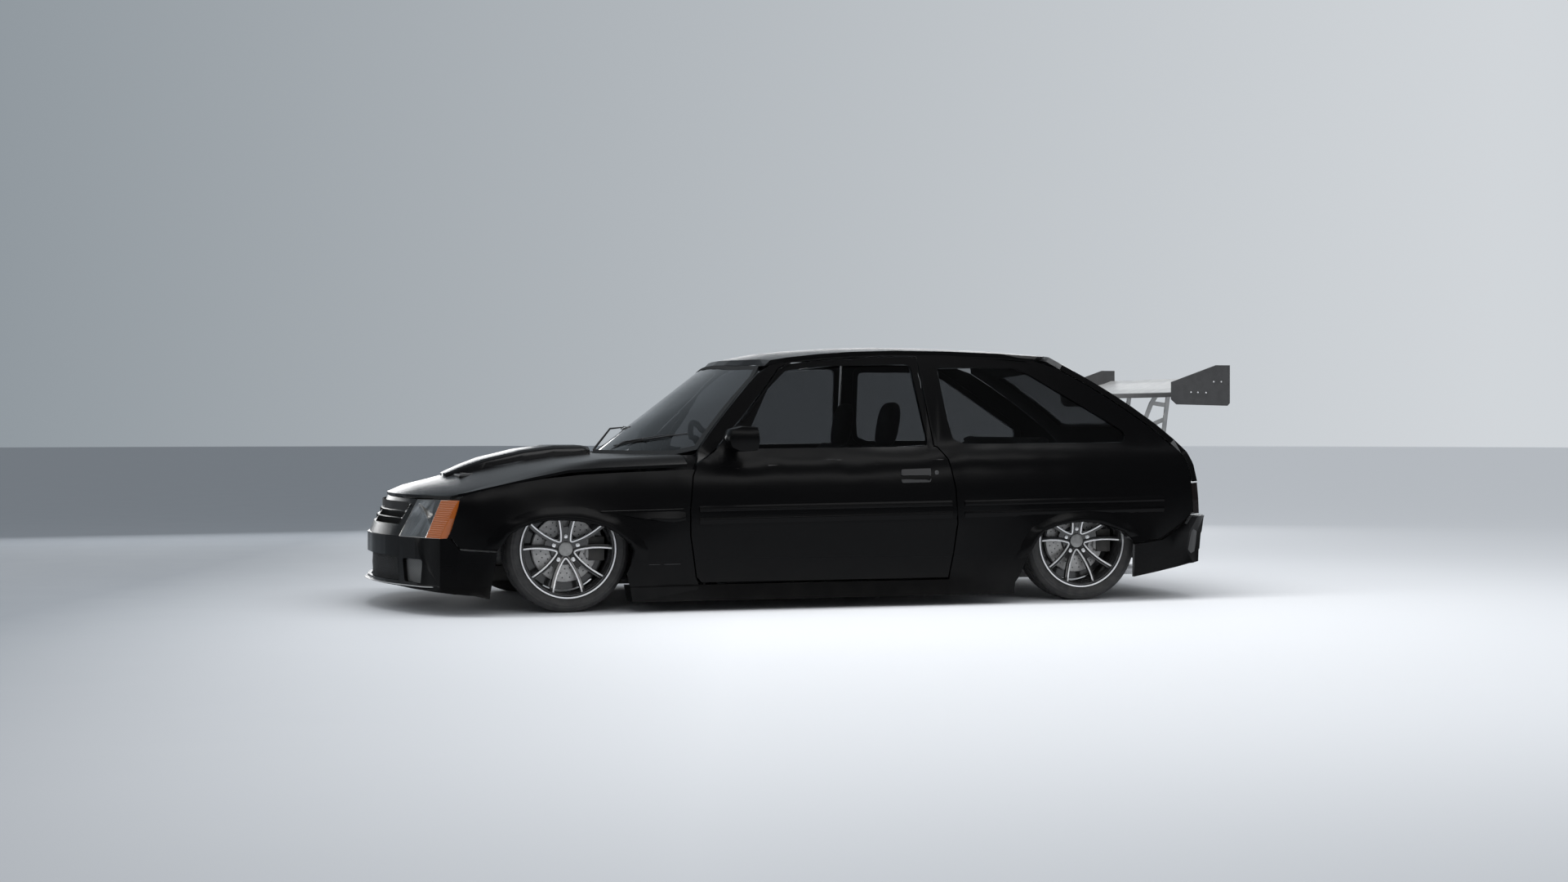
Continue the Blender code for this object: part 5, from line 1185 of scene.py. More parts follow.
class HATCHBACK_OT_front_trim(bpy.types.Operator):
    """Close the scoop's mouth, and fit the washer jets, the wipers and the cowl's vents"""
    bl_idname = "hatchback.front_trim"
    bl_label = "Scoop, jets and wipers"

    def execute(self, context):
        hood = Skin("hood")
        for word, side in SIDES.items():
            y = side * 0.280
            z = hood.top(0.330, y)
            jet = rounded_box((0.318, y - 0.008, z - 0.001), (0.342, y + 0.008, z + 0.0065),
                              0.003)
            piece("washer_jet_" + word, jet, "hood", "soft_rubber")
        self.scoop_shade()
        self.cowl_vents()
        self.wiper("left", (0.315, -0.140), (0.352, -0.190, 0.708), (-0.320, 0.724),
                   ((-0.120, 0.692), (-0.540, 0.748)))
        self.wiper("right", (0.335, 0.330), (0.400, 0.310, 0.766), (0.240, 0.772),
                   ((0.420, 0.752), (0.020, 0.776)))
        return {"FINISHED"}

    def scoop_shade(self):
        """A dark panel that closes the scoop's rearward mouth: painted shade in place of the hollow
        behind it.
        """
        points = [(-0.190, 0.622), (0.190, 0.622), (0.182, 0.668), (0.150, 0.684), (0.0, 0.687),
                  (-0.150, 0.684), (-0.182, 0.668)]
        bm = moved(flat_outline(points, "YZ"), (0.2010, 0, 0))
        piece("scoop_shade", thicken(bm, 0.0015, (-1, 0, 0)), "hood", "soft_rubber")

    def cowl_vents(self):
        """Two rows of short slats in front of the windscreen."""
        skin = Skin("cowl")
        for word, side in SIDES.items():
            slats = []
            for k in range(12):
                y = side * (0.10 + 0.024 * k)
                s = 0.352
                z = skin.top(s, y, None)
                far = skin.top(s + 0.05, y, None)
                if z is None or far is None:
                    continue
                slats.append(bar((s, y, z + 0.0004), (s + 0.05, y, far + 0.0004), 0.0016, 6))
            if slats:
                piece("cowl_slats_" + word, joined(slats), "body", "soft_rubber")

    def wiper(self, word, foot, knee, tip, ends):
        """A spindle, an arched arm and a blade that lies on the windscreen."""
        skin = Skin("windscreen")
        base = Vector((*foot, Skin("cowl").top(*foot, 0.655) - 0.001))
        knee = Vector(knee)
        tip = Vector((skin.front(*tip, 0.46) - 0.014, *tip))
        arm = joined([bar(base, base + Vector((-0.006, 0, 0.020)), 0.010, 16, 0.008),
                      bar(base + Vector((-0.006, 0, 0.018)), knee, 0.0055, 10, 0.0042),
                      bar(knee, tip, 0.0042, 10, 0.0028)])
        piece("wiper_arm_" + word, arm, "body", "soft_rubber")
        (y0, z0), (y1, z1) = ends
        spots = []
        for k in range(9):
            y, z = y0 + (y1 - y0) * k / 8, z0 + (z1 - z0) * k / 8
            spots.append(Vector((skin.front(y, z, 0.46) - 0.0030, y, z)))
        lift = Vector((-0.0085, 0, 0.0065))
        parts = [bar(p, q, 0.0026, 8) for p, q in zip(spots, spots[1:])]
        parts += [bar(spots[1], spots[2] + lift, 0.0016, 6),
                  bar(spots[2] + lift, spots[6] + lift, 0.0022, 6),
                  bar(spots[6] + lift, spots[7], 0.0016, 6), bar(tip, spots[4] + lift, 0.0028, 8)]
        piece("wiper_blade_" + word, joined(parts), "body", "soft_rubber")


# Wheels

SPOKE_PAIRS = 5
LUG_RADIUS = 0.0555
# The inner edge of a V's leg from the bend at the hub to the rim, with X along the V
SPOKE_LINE = [(0.0405, 0.0), (0.0415, 0.0032), (0.0455, 0.0068), (0.0600, 0.0165),
              (0.0770, 0.0262), (0.1050, 0.0392), (0.1330, 0.0490), (0.1600, 0.0562),
              (0.1810, 0.0608), (0.1895, 0.0628)]
# Half the web between two pairs of spokes lies above the line, the other half below it
WEB = [(0.040, -0.030), (0.066, -0.0265), (0.084, -0.0190), (0.093, -0.0080), (0.094, 0.0),
       (0.093, 0.0080), (0.084, 0.0190), (0.066, 0.0265), (0.040, 0.030)]


class Corner:
    """One corner of the car, with its bodies' names and its wheel's centre."""

    def __init__(self, axle, word):
        self.side = SIDES[word]
        self.tag = f"{axle}_{word}"
        self.wheel = f"{axle}_wheel_{word}"
        self.carrier = "knuckle_" + word if axle == "front" else "body"
        self.rim, self.tyre = f"{axle}_rim_{word}", f"{axle}_tyre_{word}"
        s = FRONT_AXLE if axle == "front" else REAR_AXLE
        self.centre = (s, self.side * WHEEL_Y, WHEEL_Z)

    def put(self, label, bm, look, slot="rim_alloy", replaces=(), angle=35.0, body=None):
        """Sets a shape drawn round the origin, with +Y outboard, at the wheel's centre."""
        moved(mirrored(bm, self.side), self.centre)
        return piece(f"{label}_{self.tag}", bm, body or self.wheel, look, replaces, angle)


CORNERS = [Corner(axle, word) for word in SIDES for axle in ("front", "rear")]


def spoke_path(shift, base_low, rise):
    """One V of spokes from rim to hub and out again, moved outwards from SPOKE_LINE."""
    half = []
    for k, spot in enumerate(SPOKE_LINE):
        after = SPOKE_LINE[min(k + 1, len(SPOKE_LINE) - 1)]
        before = SPOKE_LINE[max(k - 1, 0)]
        ahead = Vector(after) - Vector(before) if k else Vector((0.0, 1.0))
        away = Vector((-ahead.y, ahead.x)).normalized() * shift
        out = base_low + rise * (spot[0] - SPOKE_LINE[0][0]) / 0.1425
        out += 0.0085 if spot is SPOKE_LINE[-1] else 0.0
        half.append((spot[0] + away.x, spot[1] + away.y, out))
    return [(x, -y, out) for x, y, out in reversed(half[1:])] + half


def spoke_set(path, section):
    """Five copies of a V round the hub."""
    parts = []
    for k in range(SPOKE_PAIRS):
        turn = Matrix.Rotation(math.radians(270 + k * 360 / SPOKE_PAIRS), 2)
        points = []
        for x, y, out in path:
            spot = turn @ Vector((x, y))
            points.append((spot.x, out, spot.y))
        parts.append(sweep(points, section, (0, 1, 0)))
    return joined(parts)


class HATCHBACK_OT_wheels(bpy.types.Operator):
    """Build the dished rims with their machined edges, the brake discs and the tyres"""
    bl_idname = "hatchback.wheels"
    bl_label = "Wheels and tyres"

    def execute(self, context):
        sizes = context.scene.hatchback_wheels
        for corner in CORNERS:
            self.rim(corner)
            self.centre(corner)
            self.disc(corner)
            self.tyre(corner, sizes.groove_depth, sizes.groove_width / 2)
        return {"FINISHED"}

    def rim(self, corner):
        """A bright lip round a dark barrel, and five V-shaped spokes with machined edges."""
        lip = spun([(0.2045, 0.0762), (0.2045, 0.0702), (0.1990, 0.0690), (0.1980, 0.0700),
                    (0.1980, 0.0744), (0.1992, 0.0762)], count=72)
        corner.put("rim_lip", lip, "bright_metal", replaces=[corner.rim], angle=50)
        barrel = spun([(0.1980, 0.0738), (0.2040, 0.0702), (0.1905, 0.0700), (0.1905, -0.0700),
                       (0.2045, -0.0700), (0.2045, -0.0760), (0.1840, -0.0600), (0.1840, 0.0050),
                       (0.1800, 0.0100), (0.1800, 0.0300), (0.1840, 0.0350), (0.1850, 0.0560),
                       (0.1900, 0.0660)], count=72)
        corner.put("rim_barrel", barrel, "wheel_black", angle=30)
        web = [(-0.0105, -0.0135), (0.0105, -0.0135), (0.0090, -0.0010), (0.0070, 0.0),
               (-0.0070, 0.0), (-0.0090, -0.0010)]
        legs = spoke_set(spoke_path(0.0060, 0.0180, 0.0440), web)
        corner.put("spokes", legs, "wheel_black", angle=50)
        webs = []
        for k in range(SPOKE_PAIRS):
            turn = Matrix.Rotation(math.radians(90 + k * 360 / SPOKE_PAIRS), 2)
            bm = bmesh.new()
            points = []
            for x, y in WEB:
                spot = turn @ Vector((x, y))
                points.append((spot.x, 0.0160 + (x - 0.040) * 0.26, spot.y))
            ring_face(bm, points)
            webs.append(thicken(bm, 0.013, (0, -1, 0)))
        corner.put("spoke_webs", joined(webs), "wheel_black", angle=50)
        edge = [(-0.0034, -0.0010), (0.0034, -0.0010), (0.0034, 0.0006), (0.0028, 0.0012),
                (-0.0028, 0.0012), (-0.0034, 0.0006)]
        bright = spoke_set(spoke_path(0.0012, 0.0186, 0.0440), edge)
        corner.put("spoke_edges", bright, "bright_metal", angle=50)

    def centre(self, corner):
        """The hub plate, its cap and five lug nuts in their pockets."""
        plate = spun([(0.0, -0.0040), (0.0670, -0.0040), (0.0670, 0.0030), (0.0630, 0.0095),
                      (0.0500, 0.0145), (0.0360, 0.0165), (0.0330, 0.0150), (0.0, 0.0150)],
                     count=60)
        corner.put("hub", plate, "wheel_black")
        cap = spun([(0.0, 0.0140), (0.0300, 0.0140), (0.0300, 0.0200), (0.0288, 0.0216),
                    (0.0255, 0.0222), (0.0250, 0.0212), (0.0, 0.0222)])
        corner.put("hub_cap", cap, "cast_metal")
        nuts = []
        for k in range(5):
            a = math.radians(90 + 72 * k)
            x, z = LUG_RADIUS * math.cos(a), LUG_RADIUS * math.sin(a)
            nut = bar((x, 0.0080, z), (x, 0.0255, z), 0.0082, 6)
            bmesh.ops.bevel(nut, geom=[e for e in nut.edges if all(v.co.y > 0.0254
                                                                   for v in e.verts)],
                            offset=0.0015, affect="EDGES", segments=2, profile=0.5, material=-1)
            nuts += [nut, bar((x, 0.0080, z), (x, 0.0212, z), 0.0104, 16)]
        corner.put("lug_nuts", joined(nuts), "bright_metal", angle=40)
        valve = joined([bar((0.0, 0.0640, -0.1870), (0.0, 0.0725, -0.1780), 0.0028, 10),
                        bar((0.0, 0.0610, -0.1890), (0.0, 0.0650, -0.1860), 0.0042, 10)])
        corner.put("valve", valve, "soft_rubber", None)

    def disc(self, corner):
        """A vented disc and its hat, with rows of dark dots on its face that paint the shade of
        drilled holes.
        """
        disc = spun([(0.0700, -0.0040), (0.1385, -0.0040), (0.1400, -0.0052), (0.1400, -0.0100),
                     (0.1340, -0.0110), (0.1340, -0.0190), (0.1400, -0.0200), (0.1400, -0.0248),
                     (0.1385, -0.0260), (0.0, -0.0260), (0.0, -0.0030), (0.0660, -0.0030)],
                    count=72)
        corner.put("brake_disc", disc, "disc_metal", "bare_metal", angle=30)
        # Dark dots laid on the disc's face stand in for holes: painted shade
        holes = []
        for k in range(24):
            for row in range(3):
                a = math.radians(15 * k + 5 * row)
                r = 0.084 + 0.019 * row
                x, z = r * math.cos(a), r * math.sin(a)
                holes.append(bar((x, -0.0050, z), (x, -0.00385, z), 0.0032, 8))
        corner.put("disc_hole_shade", joined(holes), "soft_rubber", None)

    def tyre(self, corner, depth, half):
        """A low tyre with grooves round its tread and cuts across the shoulders."""
        outer = [(0.1908, 0.0694), (0.2051, 0.0694), (0.2072, 0.0720), (0.2160, 0.0778),
                 (0.2270, 0.0818), (0.2300, 0.0824), (0.2345, 0.0825), (0.2360, 0.0812),
                 (0.2440, 0.0800), (0.2450, 0.0788), (0.2550, 0.0722), (0.2600, 0.0640),
                 (0.2622, 0.0560)]
        tread = []
        for middle in (0.0390, 0.0130):
            tread += [(0.2630, middle + half), (0.2630 - depth, middle + half - 0.001),
                      (0.2630 - depth, middle - half + 0.001), (0.2630, middle - half)]
        whole = outer + tread
        whole += [(r, -a) for r, a in reversed(whole)]
        inside = [(0.1960, -0.0640), (0.2230, -0.0700), (0.2480, -0.0600), (0.2500, 0.0),
                  (0.2480, 0.0600), (0.2230, 0.0700), (0.1960, 0.0640)]
        bm = spun(whole + inside, count=120)
        bmesh.ops.recalc_face_normals(bm, faces=bm.faces)
        cuts = []
        for face in bm.faces:
            c = face.calc_center_median()
            radius = math.hypot(c.x, c.z)
            turn = round((math.degrees(math.atan2(c.z, c.x)) % 360 - 1.5) / 3)
            shoulder = radius > 0.2615 and 0.0425 < abs(c.y) < 0.0560
            rib = radius > 0.2615 and 0.0165 < abs(c.y) < 0.0355
            if (shoulder and turn % 3 == 0) or (rib and turn % 6 == 1):
                cuts.append(face)
        made = bmesh.ops.extrude_discrete_faces(bm, faces=cuts)
        for face in made["faces"]:
            c = face.calc_center_median()
            inward = Vector((-c.x, 0, -c.z)).normalized()
            bmesh.ops.translate(bm, verts=face.verts, vec=inward * depth * 0.8)
        corner.put("tyre", bm, "tyre_rubber", "tyre_rubber", [corner.tyre], 32)


class HATCHBACK_OT_brakes(bpy.types.Operator):
    """Add a cast caliper with its bolts at each wheel, and finish the axle and knuckles"""
    bl_idname = "hatchback.brakes"
    bl_label = "Brakes and knuckles"

    def execute(self, context):
        outline = [(0.086, -0.030), (0.093, -0.039), (0.115, -0.045), (0.134, -0.040),
                   (0.141, -0.024), (0.145, 0.0), (0.141, 0.024), (0.134, 0.040),
                   (0.115, 0.045), (0.093, 0.039), (0.086, 0.030), (0.090, 0.0)]
        for corner in CORNERS:
            block = bmesh.new()
            ring_face(block, [(x, 0.0068, z) for x, z in outline])
            thicken(block, 0.0098, (0, -1, 0))
            bosses = [bar((0.110, 0.0050, z), (0.110, 0.0078, z), 0.0145, 20)
                      for z in (-0.021, 0.021)]
            bolts = [bar((0.136, 0.0050, z), (0.136, 0.0076, z), 0.0040, 6)
                     for z in (-0.026, 0.0, 0.026)]
            shield = spun([(0.045, -0.0340), (0.1730, -0.0340), (0.1740, -0.0330),
                           (0.1730, -0.0320), (0.045, -0.0320)], count=60)
            corner.put("dust_shield", shield, "wheel_black", None, body=corner.carrier)
            corner.put("caliper", joined([block, *bosses, *bolts]), "cast_metal", "bare_metal",
                       angle=40, body=corner.carrier)
        dress("under_paint", "knuckle_left", "knuckle_right", "rear_axle")
        return {"FINISHED"}


# Mirrors and wing

class HATCHBACK_OT_mirrors(bpy.types.Operator):
    """Set a mirror glass into the rear of each door mirror"""
    bl_idname = "hatchback.mirrors"
    bl_label = "Mirror glasses"

    def execute(self, context):
        for word, side in SIDES.items():
            skin = Skin("door_" + word)
            outline = soft_corners([(0.790, 0.684), (0.893, 0.690), (0.896, 0.760),
                                    (0.794, 0.766)], 0.022, 4)
            for label, inner, lift, look in (("glass", 0.004, 0.0012, "bright_metal"),
                                             ("rim", 0.0, 0.0006, "soft_rubber")):
                bm = flat_outline([(side * y, z) for y, z in outline], "YZ")
                if inner:
                    rim = bmesh.ops.inset_region(bm, faces=bm.faces[:], thickness=inner,
                                                 use_boundary=True, use_even_offset=True)
                    without(bm, rim["faces"])
                for vert in bm.verts:
                    vert.co.x = skin.back(vert.co.y, vert.co.z, 0.770) + lift
                thicken(bm, 0.001, (-1, 0, 0))
                piece(f"mirror_{label}_{word}", bm, "door_" + word, look)
        return {"FINISHED"}


class HATCHBACK_OT_rear_wing(bpy.types.Operator):
    """Finish the rear wing: a light blade between dark riveted end plates"""
    bl_idname = "hatchback.rear_wing"
    bl_label = "Rear wing"

    def execute(self, context):
        bm = node_mesh("rear_wing")
        for face in bm.faces:
            face.material_index = 0 if abs(face.calc_center_median().y) < 0.6175 else 1
        weighted(piece("wing_shell", bm, "hatch", ["satin_metal", "plate_metal"],
                       ["rear_wing"], 25, recalc=False))
        # A dark band along the front of the wing's rounded nose: painted shade
        strip = sweep([(2.8215, -0.617, 0.922), (2.8215, 0.617, 0.922)],
                      [(-0.0045, -0.010), (0.0020, -0.012), (0.0020, 0.010), (-0.0045, 0.008)])
        piece("wing_nose_shade", strip, "hatch", "plate_metal")
        rivets = []
        for side in (-1, 1):
            for s, z in ((2.903, 0.933), (2.938, 0.932), (2.979, 0.931), (3.018, 0.981),
                         (3.056, 0.981)):
                y = side * 0.6265
                rivets.append(bar((s, y - side * 0.002, z), (s, y + side * 0.0016, z), 0.0046,
                                  12, 0.0030))
        piece("wing_rivets", joined(rivets), "hatch", "bright_metal", angle=50)
        bolts = []
        for side in (-1, 1):
            for s, z in ((2.904, 0.885), (2.978, 0.827), (2.984, 0.876), (2.868, 0.800)):
                bolts.append(bar((s, side * 0.2085 - 0.004, z), (s, side * 0.2085 + 0.0135, z),
                                 0.0052, 6))
        piece("wing_bolts", joined(bolts), "hatch", "satin_metal", angle=40)
        return {"FINISHED"}


# Cabin and underside

# Middle of the front headrests
HEAD_S, HEAD_Z = 1.540, 0.780
# How hard the cloth is blown up, and how far it may move
PADDING_PRESSURE, PADDING_MOST = 4.0, 0.008


def upholstered(name, node, body, top):
    """A padded copy of a packed seat: remeshed, blown up with cloth, capped and smoothed."""
    bm = node_mesh(node)
    for vert in bm.verts:
        if vert.co.z > 0.725 and vert.co.x < 1.70:
            vert.co.x = HEAD_S + 0.012 + (vert.co.x - HEAD_S) * 0.5
            vert.co.z = HEAD_Z + (vert.co.z - HEAD_Z) * 0.7
            middle = math.copysign(SEAT_Y, vert.co.y)
            vert.co.y = middle + (vert.co.y - middle) * 0.55
    moved(bm, (DATUM_X, 0, 0))
    mesh = bpy.data.meshes.new(name)
    bm.to_mesh(mesh)
    bm.free()
    made = bpy.data.objects.new(name, mesh)
    bpy.context.scene.collection.objects.link(made)
    grid = made.modifiers.new("grid", "REMESH")
    grid.mode = "VOXEL"
    grid.voxel_size = 0.012
    soft = made.modifiers.new("soft", "SMOOTH")
    soft.factor = 0.5
    soft.iterations = 6
    settle(made)
    before = [v.co.copy() for v in made.data.vertices]
    cloth = made.modifiers.new("padding", "CLOTH")
    cloth.settings.use_pressure = True
    cloth.settings.uniform_pressure_force = PADDING_PRESSURE
    cloth.settings.effector_weights.gravity = 0.0
    cloth.settings.quality = 4
    cloth.point_cache.frame_end = 20
    for step in range(1, 21):
        bpy.context.scene.frame_set(step)
    settle(made)
    bpy.context.scene.frame_set(1)
    for vert, old in zip(made.data.vertices, before):
        push = vert.co - old
        if push.length > PADDING_MOST:
            vert.co = old + push.normalized() * PADDING_MOST
        vert.co.z = max(vert.co.z, top)
    made.data.shade_smooth()
    made.data.materials.clear()
    made.data.materials.append(material("seat_cloth"))
    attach(made, body)
    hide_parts(node)
    return made


def headrest(word, side):
    """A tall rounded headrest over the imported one."""
    bm = bmesh.new()
    bmesh.ops.create_uvsphere(bm, u_segments=32, v_segments=20, radius=1.0)
    for vert in bm.verts:
        x, y, z = vert.co
        grow = 1.0 / max(0.2, (abs(x) ** 3 + abs(y) ** 3 + abs(z) ** 3) ** (1 / 3))
        vert.co = (HEAD_S + 0.036 * x * grow + 0.018 * z * grow,
                   side * SEAT_Y + 0.092 * y * grow, HEAD_Z + 0.105 * z * grow)
    piece("headrest_cover_" + word, bm, "body", "seat_cloth", angle=80)


def settle(made):
    """Applies the modifiers of a piece to its mesh."""
    graph = bpy.context.evaluated_depsgraph_get()
    mesh = bpy.data.meshes.new_from_object(made.evaluated_get(graph))
    made.modifiers.clear()
    made.data = mesh


class HATCHBACK_OT_cabin(bpy.types.Operator):
    """Upholster the seats, and finish the dashboard, floor and steering wheel"""
    bl_idname = "hatchback.cabin"
    bl_label = "Cabin"

    def execute(self, context):
        for word, side in SIDES.items():
            upholstered("seat_cover_" + word, "seat_" + word, "body", 0.118)
            middle = side * SEAT_Y
            rails = [rounded_box((1.000, middle + dy - 0.018, 0.1176),
                                 (1.420, middle + dy + 0.018, 0.150), 0.004)
                     for dy in (-0.165, 0.165)]
            piece("seat_rails_" + word, joined(rails), "body", "satin_metal")
            # Dark strips across each cushion paint the shade in its seams
            for s in (1.10, 1.25):
                z = 0.318 - (s - 0.98) * 0.079 + 0.004
                seam = sweep([(s, middle - 0.205, z), (s, middle + 0.205, z)],
                             [(-0.0025, -0.002), (0.0025, -0.002), (0.0015, 0.0015),
                              (-0.0015, 0.0015)])
                piece(f"seat_seam_shade_{word}_{round(s * 100)}", seam, "body", "soft_rubber")
        for word, side in SIDES.items():
            headrest(word, side)
        screen_mirror = rounded_box((1.020, -0.095, 0.962), (1.040, 0.095, 1.012), 0.006)
        piece("screen_mirror", screen_mirror, "body", "cabin_plastic")
        upholstered("bench_cover", "rear_bench", "body", 0.300)
        piece("dashboard_shell", node_mesh("dashboard"), "body", "cabin_plastic",
              ["dashboard"], 30, recalc=False)
        self.steering_wheel()
        for word, side in SIDES.items():
            mat = rounded_box((0.700, side * SEAT_Y - 0.190, 0.1175),
                              (0.960, side * SEAT_Y + 0.190, 0.1235), 0.002, 1)
            piece("floor_mat_" + word, mat, "body", "seat_cloth")
        self.instruments()
        return {"FINISHED"}

    def steering_wheel(self):
        """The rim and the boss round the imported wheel's spokes."""
        start, end = Vector((0.640, SEAT_Y, 0.560)), Vector((0.860, SEAT_Y, 0.640))
        lean = (end - start).normalized().to_track_quat("Z", "Y").to_matrix().to_4x4()
        place = Matrix.Translation(end) @ lean @ Matrix.Rotation(math.radians(90), 4, "X")
        ring = [(0.165 + 0.0135 * math.cos(math.radians(a)), 0.0135 * math.sin(math.radians(a)))
                for a in range(0, 360, 30)]
        piece("steering_wheel_rim", turned(spun(ring), place), "body", "soft_rubber")
        boss = spun([(0.0, -0.020), (0.046, -0.020), (0.050, 0.006), (0.040, 0.020),
                     (0.0, 0.024)], count=32)
        piece("steering_wheel_boss", turned(boss, place), "body", "cabin_plastic")

    def instruments(self):
        """A hooded cluster with two dials, and round vents along the dashboard."""
        skin = Skin("dashboard")
        top = skin.top(0.600, 0.330)
        hood = rounded_box((0.560, 0.190, top - 0.010), (0.640, 0.470, top + 0.022), 0.010, 3)
        piece("cluster_hood", hood, "body", "cabin_plastic")
        dials = []
        for y in (0.270, 0.390):
            dials.append(bar((0.6385, y, top + 0.002), (0.6415, y, top + 0.002), 0.017, 24))
        piece("cluster_dials", joined(dials), "body", "satin_metal")
        vents = []
        for y in (-0.54, -0.10, 0.10, 0.55):
            s = skin.back(y, 0.615, 0.69)
            vents.append(bar((s - 0.004, y, 0.615), (s + 0.003, y, 0.615), 0.028, 24))
        piece("dashboard_vents", joined(vents), "body", "soft_rubber")


class HATCHBACK_OT_underside(bpy.types.Operator):
    """Finish the floor, subframe, engine and exhaust, and add a ribbed cover over the engine"""
    bl_idname = "hatchback.underside"
    bl_label = "Floor and engine"

    def execute(self, context):
        dress("under_paint", "floor_pan", "front_subframe")
        dress("cast_metal", "engine", "exhaust")
        low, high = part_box("engine")
        top = high.z
        x0, x1 = low.x - DATUM_X + 0.03, high.x - DATUM_X - 0.03
        cover = rounded_box((x0, low.y + 0.05, top - 0.002), (x1, high.y - 0.05, top + 0.012),
                            0.006)
        ribs = []
        for k in range(7):
            y = low.y + 0.09 + (high.y - low.y - 0.18) * k / 6
            ribs.append(rounded_box((x0 + 0.02, y - 0.004, top + 0.010),
                                    (x1 - 0.02, y + 0.004, top + 0.016), 0.0015, 1))
        piece("engine_cover", joined([cover, *ribs]), "body", "black_plastic")
        return {"FINISHED"}


# Stage

class HATCHBACK_OT_studio(bpy.types.Operator):
    """Set up the pale floor, the soft lights, the sky behind and the camera"""
    bl_idname = "hatchback.studio"
    bl_label = "Studio"

    def execute(self, context):
        studio = context.scene.hatchback_studio
        self.floor(studio)
        self.world(context.scene, studio)
        for name, place, aim, size, power in (
                ("top_light", (0.0, -0.6, 3.6), (0.0, -0.1, 0.4), (5.0, 1.0), 110.0),
                ("side_light", (-0.3, -5.6, 3.0), (0.0, -0.7, 0.5), (6.5, 0.8), 60.0),
                ("flank_light", (-0.3, -2.2, 4.0), (0.0, -0.7, 0.5), (6.0, 0.8), 45.0),
                ("hood_light", (-2.3, 6.5, 1.30), (-1.5, 0.0, 0.6), (4.4, 1.0), 60.0),
                ("roof_light", (3.2, 6.5, 1.60), (0.6, 0.0, 1.1), (3.6, 1.0), 36.0),
                ("nose_light", (-6.5, 1.6, 1.2), (-1.6, 0.0, 0.3), (3.0, 1.6), 32.0)):
            self.area(name, place, aim, size, power * studio.light)
        self.camera(context.scene, studio)
        context.scene.view_settings.view_transform = "Standard"
        return {"FINISHED"}

    def floor(self, studio):
        """A round floor, painted darker beyond the car's nose as painted shade, that pales towards
        the car.
        """
        bm = bmesh.new()
        bmesh.ops.create_circle(bm, cap_ends=True, segments=96, radius=60.0)
        mesh = bpy.data.meshes.new("studio_floor")
        bm.to_mesh(mesh)
        bm.free()
        floor = bpy.data.objects.new("studio_floor", mesh)
        bpy.context.scene.collection.objects.link(floor)
        look = Look("studio_floor", tuple(studio.floor), 0.75, Specular_IOR_Level=0.15)
        look.grain(3.0, 0.1)
        # The colour ramp paints shade on the floor, darkest beyond the nose
        place = add_node(look.nodes, "TexCoord")
        across = add_node(look.nodes, "VectorMath", {1: ACROSS}, operation="DOT_PRODUCT")
        span = add_node(look.nodes, "MapRange", {"From Min": -3.2, "From Max": -0.2})
        ramp = add_ramp(look.nodes, studio.floor_shade, studio.floor)
        wire(look.links, (place, "Object", across, 0), (across, "Value", span, "Value"),
             (span, "Result", ramp, "Fac"), (ramp, "Color", look.shader, "Base Color"))
        mesh.materials.append(look.made)

    def world(self, scene, studio):
        """A backdrop that pales from left to right, its darker left painted shade, seen as written,
        with soft light.
        """
        world = bpy.data.worlds.new("studio")
        scene.world = world
        world.use_nodes = True
        nodes = world.node_tree.nodes
        nodes.clear()
        place = add_node(nodes, "TexCoord")
        across = add_node(nodes, "VectorMath", {1: ACROSS}, operation="DOT_PRODUCT")
        span = add_node(nodes, "MapRange", {"From Min": -0.36, "From Max": 0.30})
        ramp = add_ramp(nodes, studio.backdrop_shade, studio.sky)
        axes = add_node(nodes, "SeparateXYZ")
        # The backdrop is dim behind the camera
        dim = add_node(nodes, "MapRange", {"From Min": -0.35, "From Max": 0.15, "To Min": 0.10})
        seen = add_node(nodes, "Background")
        lit = add_node(nodes, "Background", {"Color": (0.82, 0.86, 0.90, 1.0),
                                             "Strength": studio.ambient})
        path = add_node(nodes, "LightPath")
        first = add_node(nodes, "Math", operation="MAXIMUM")
        both = add_node(nodes, "Math", operation="MAXIMUM")
        mix = add_node(nodes, "MixShader")
        end = add_node(nodes, "OutputWorld")
        wire(world.node_tree.links, (place, "Generated", across, 0),
             (across, "Value", span, "Value"), (span, "Result", ramp, "Fac"),
             (ramp, "Color", seen, "Color"), (place, "Generated", axes, "Vector"),
             (axes, "Y", dim, "Value"), (dim, "Result", seen, "Strength"),
             (path, "Is Camera Ray", first, 0), (path, "Is Glossy Ray", first, 1),
             (first, "Value", both, 0), (path, "Is Transmission Ray", both, 1),
             (both, "Value", mix, "Fac"), (lit, "Background", mix, 1),
             (seen, "Background", mix, 2), (mix, "Shader", end, "Surface"))

    def area(self, name, place, aim, size, power):
        """A soft light that only the car's reflections and the floor show."""
        light = bpy.data.lights.new(name, "AREA")
        light.shape = "RECTANGLE"
        light.size, light.size_y = size
        light.energy = power
        made = bpy.data.objects.new(name, light)
        bpy.context.scene.collection.objects.link(made)
        made.visible_camera = False
        made.visible_transmission = False
        made.location = place
        made.rotation_euler = (Vector(aim) - Vector(place)).to_track_quat("-Z", "Y").to_euler()

    def camera(self, scene, studio):
        """The camera in front of the car's left side."""
        lens = bpy.data.cameras.new("camera")
        lens.lens = studio.lens
        lens.sensor_width = 36.0
        lens.shift_y = -26.0 / 1920.0
        lens.clip_end = 200.0
        made = bpy.data.objects.new("camera", lens)
        scene.collection.objects.link(made)
        made.location = (-1.828 + DATUM_X, -10.0, 0.807)
        made.rotation_euler = Vector((0.2855, 0.9584, 0.0)).to_track_quat("-Z", "Y").to_euler()
        scene.camera = made


# Settings, panel and registration

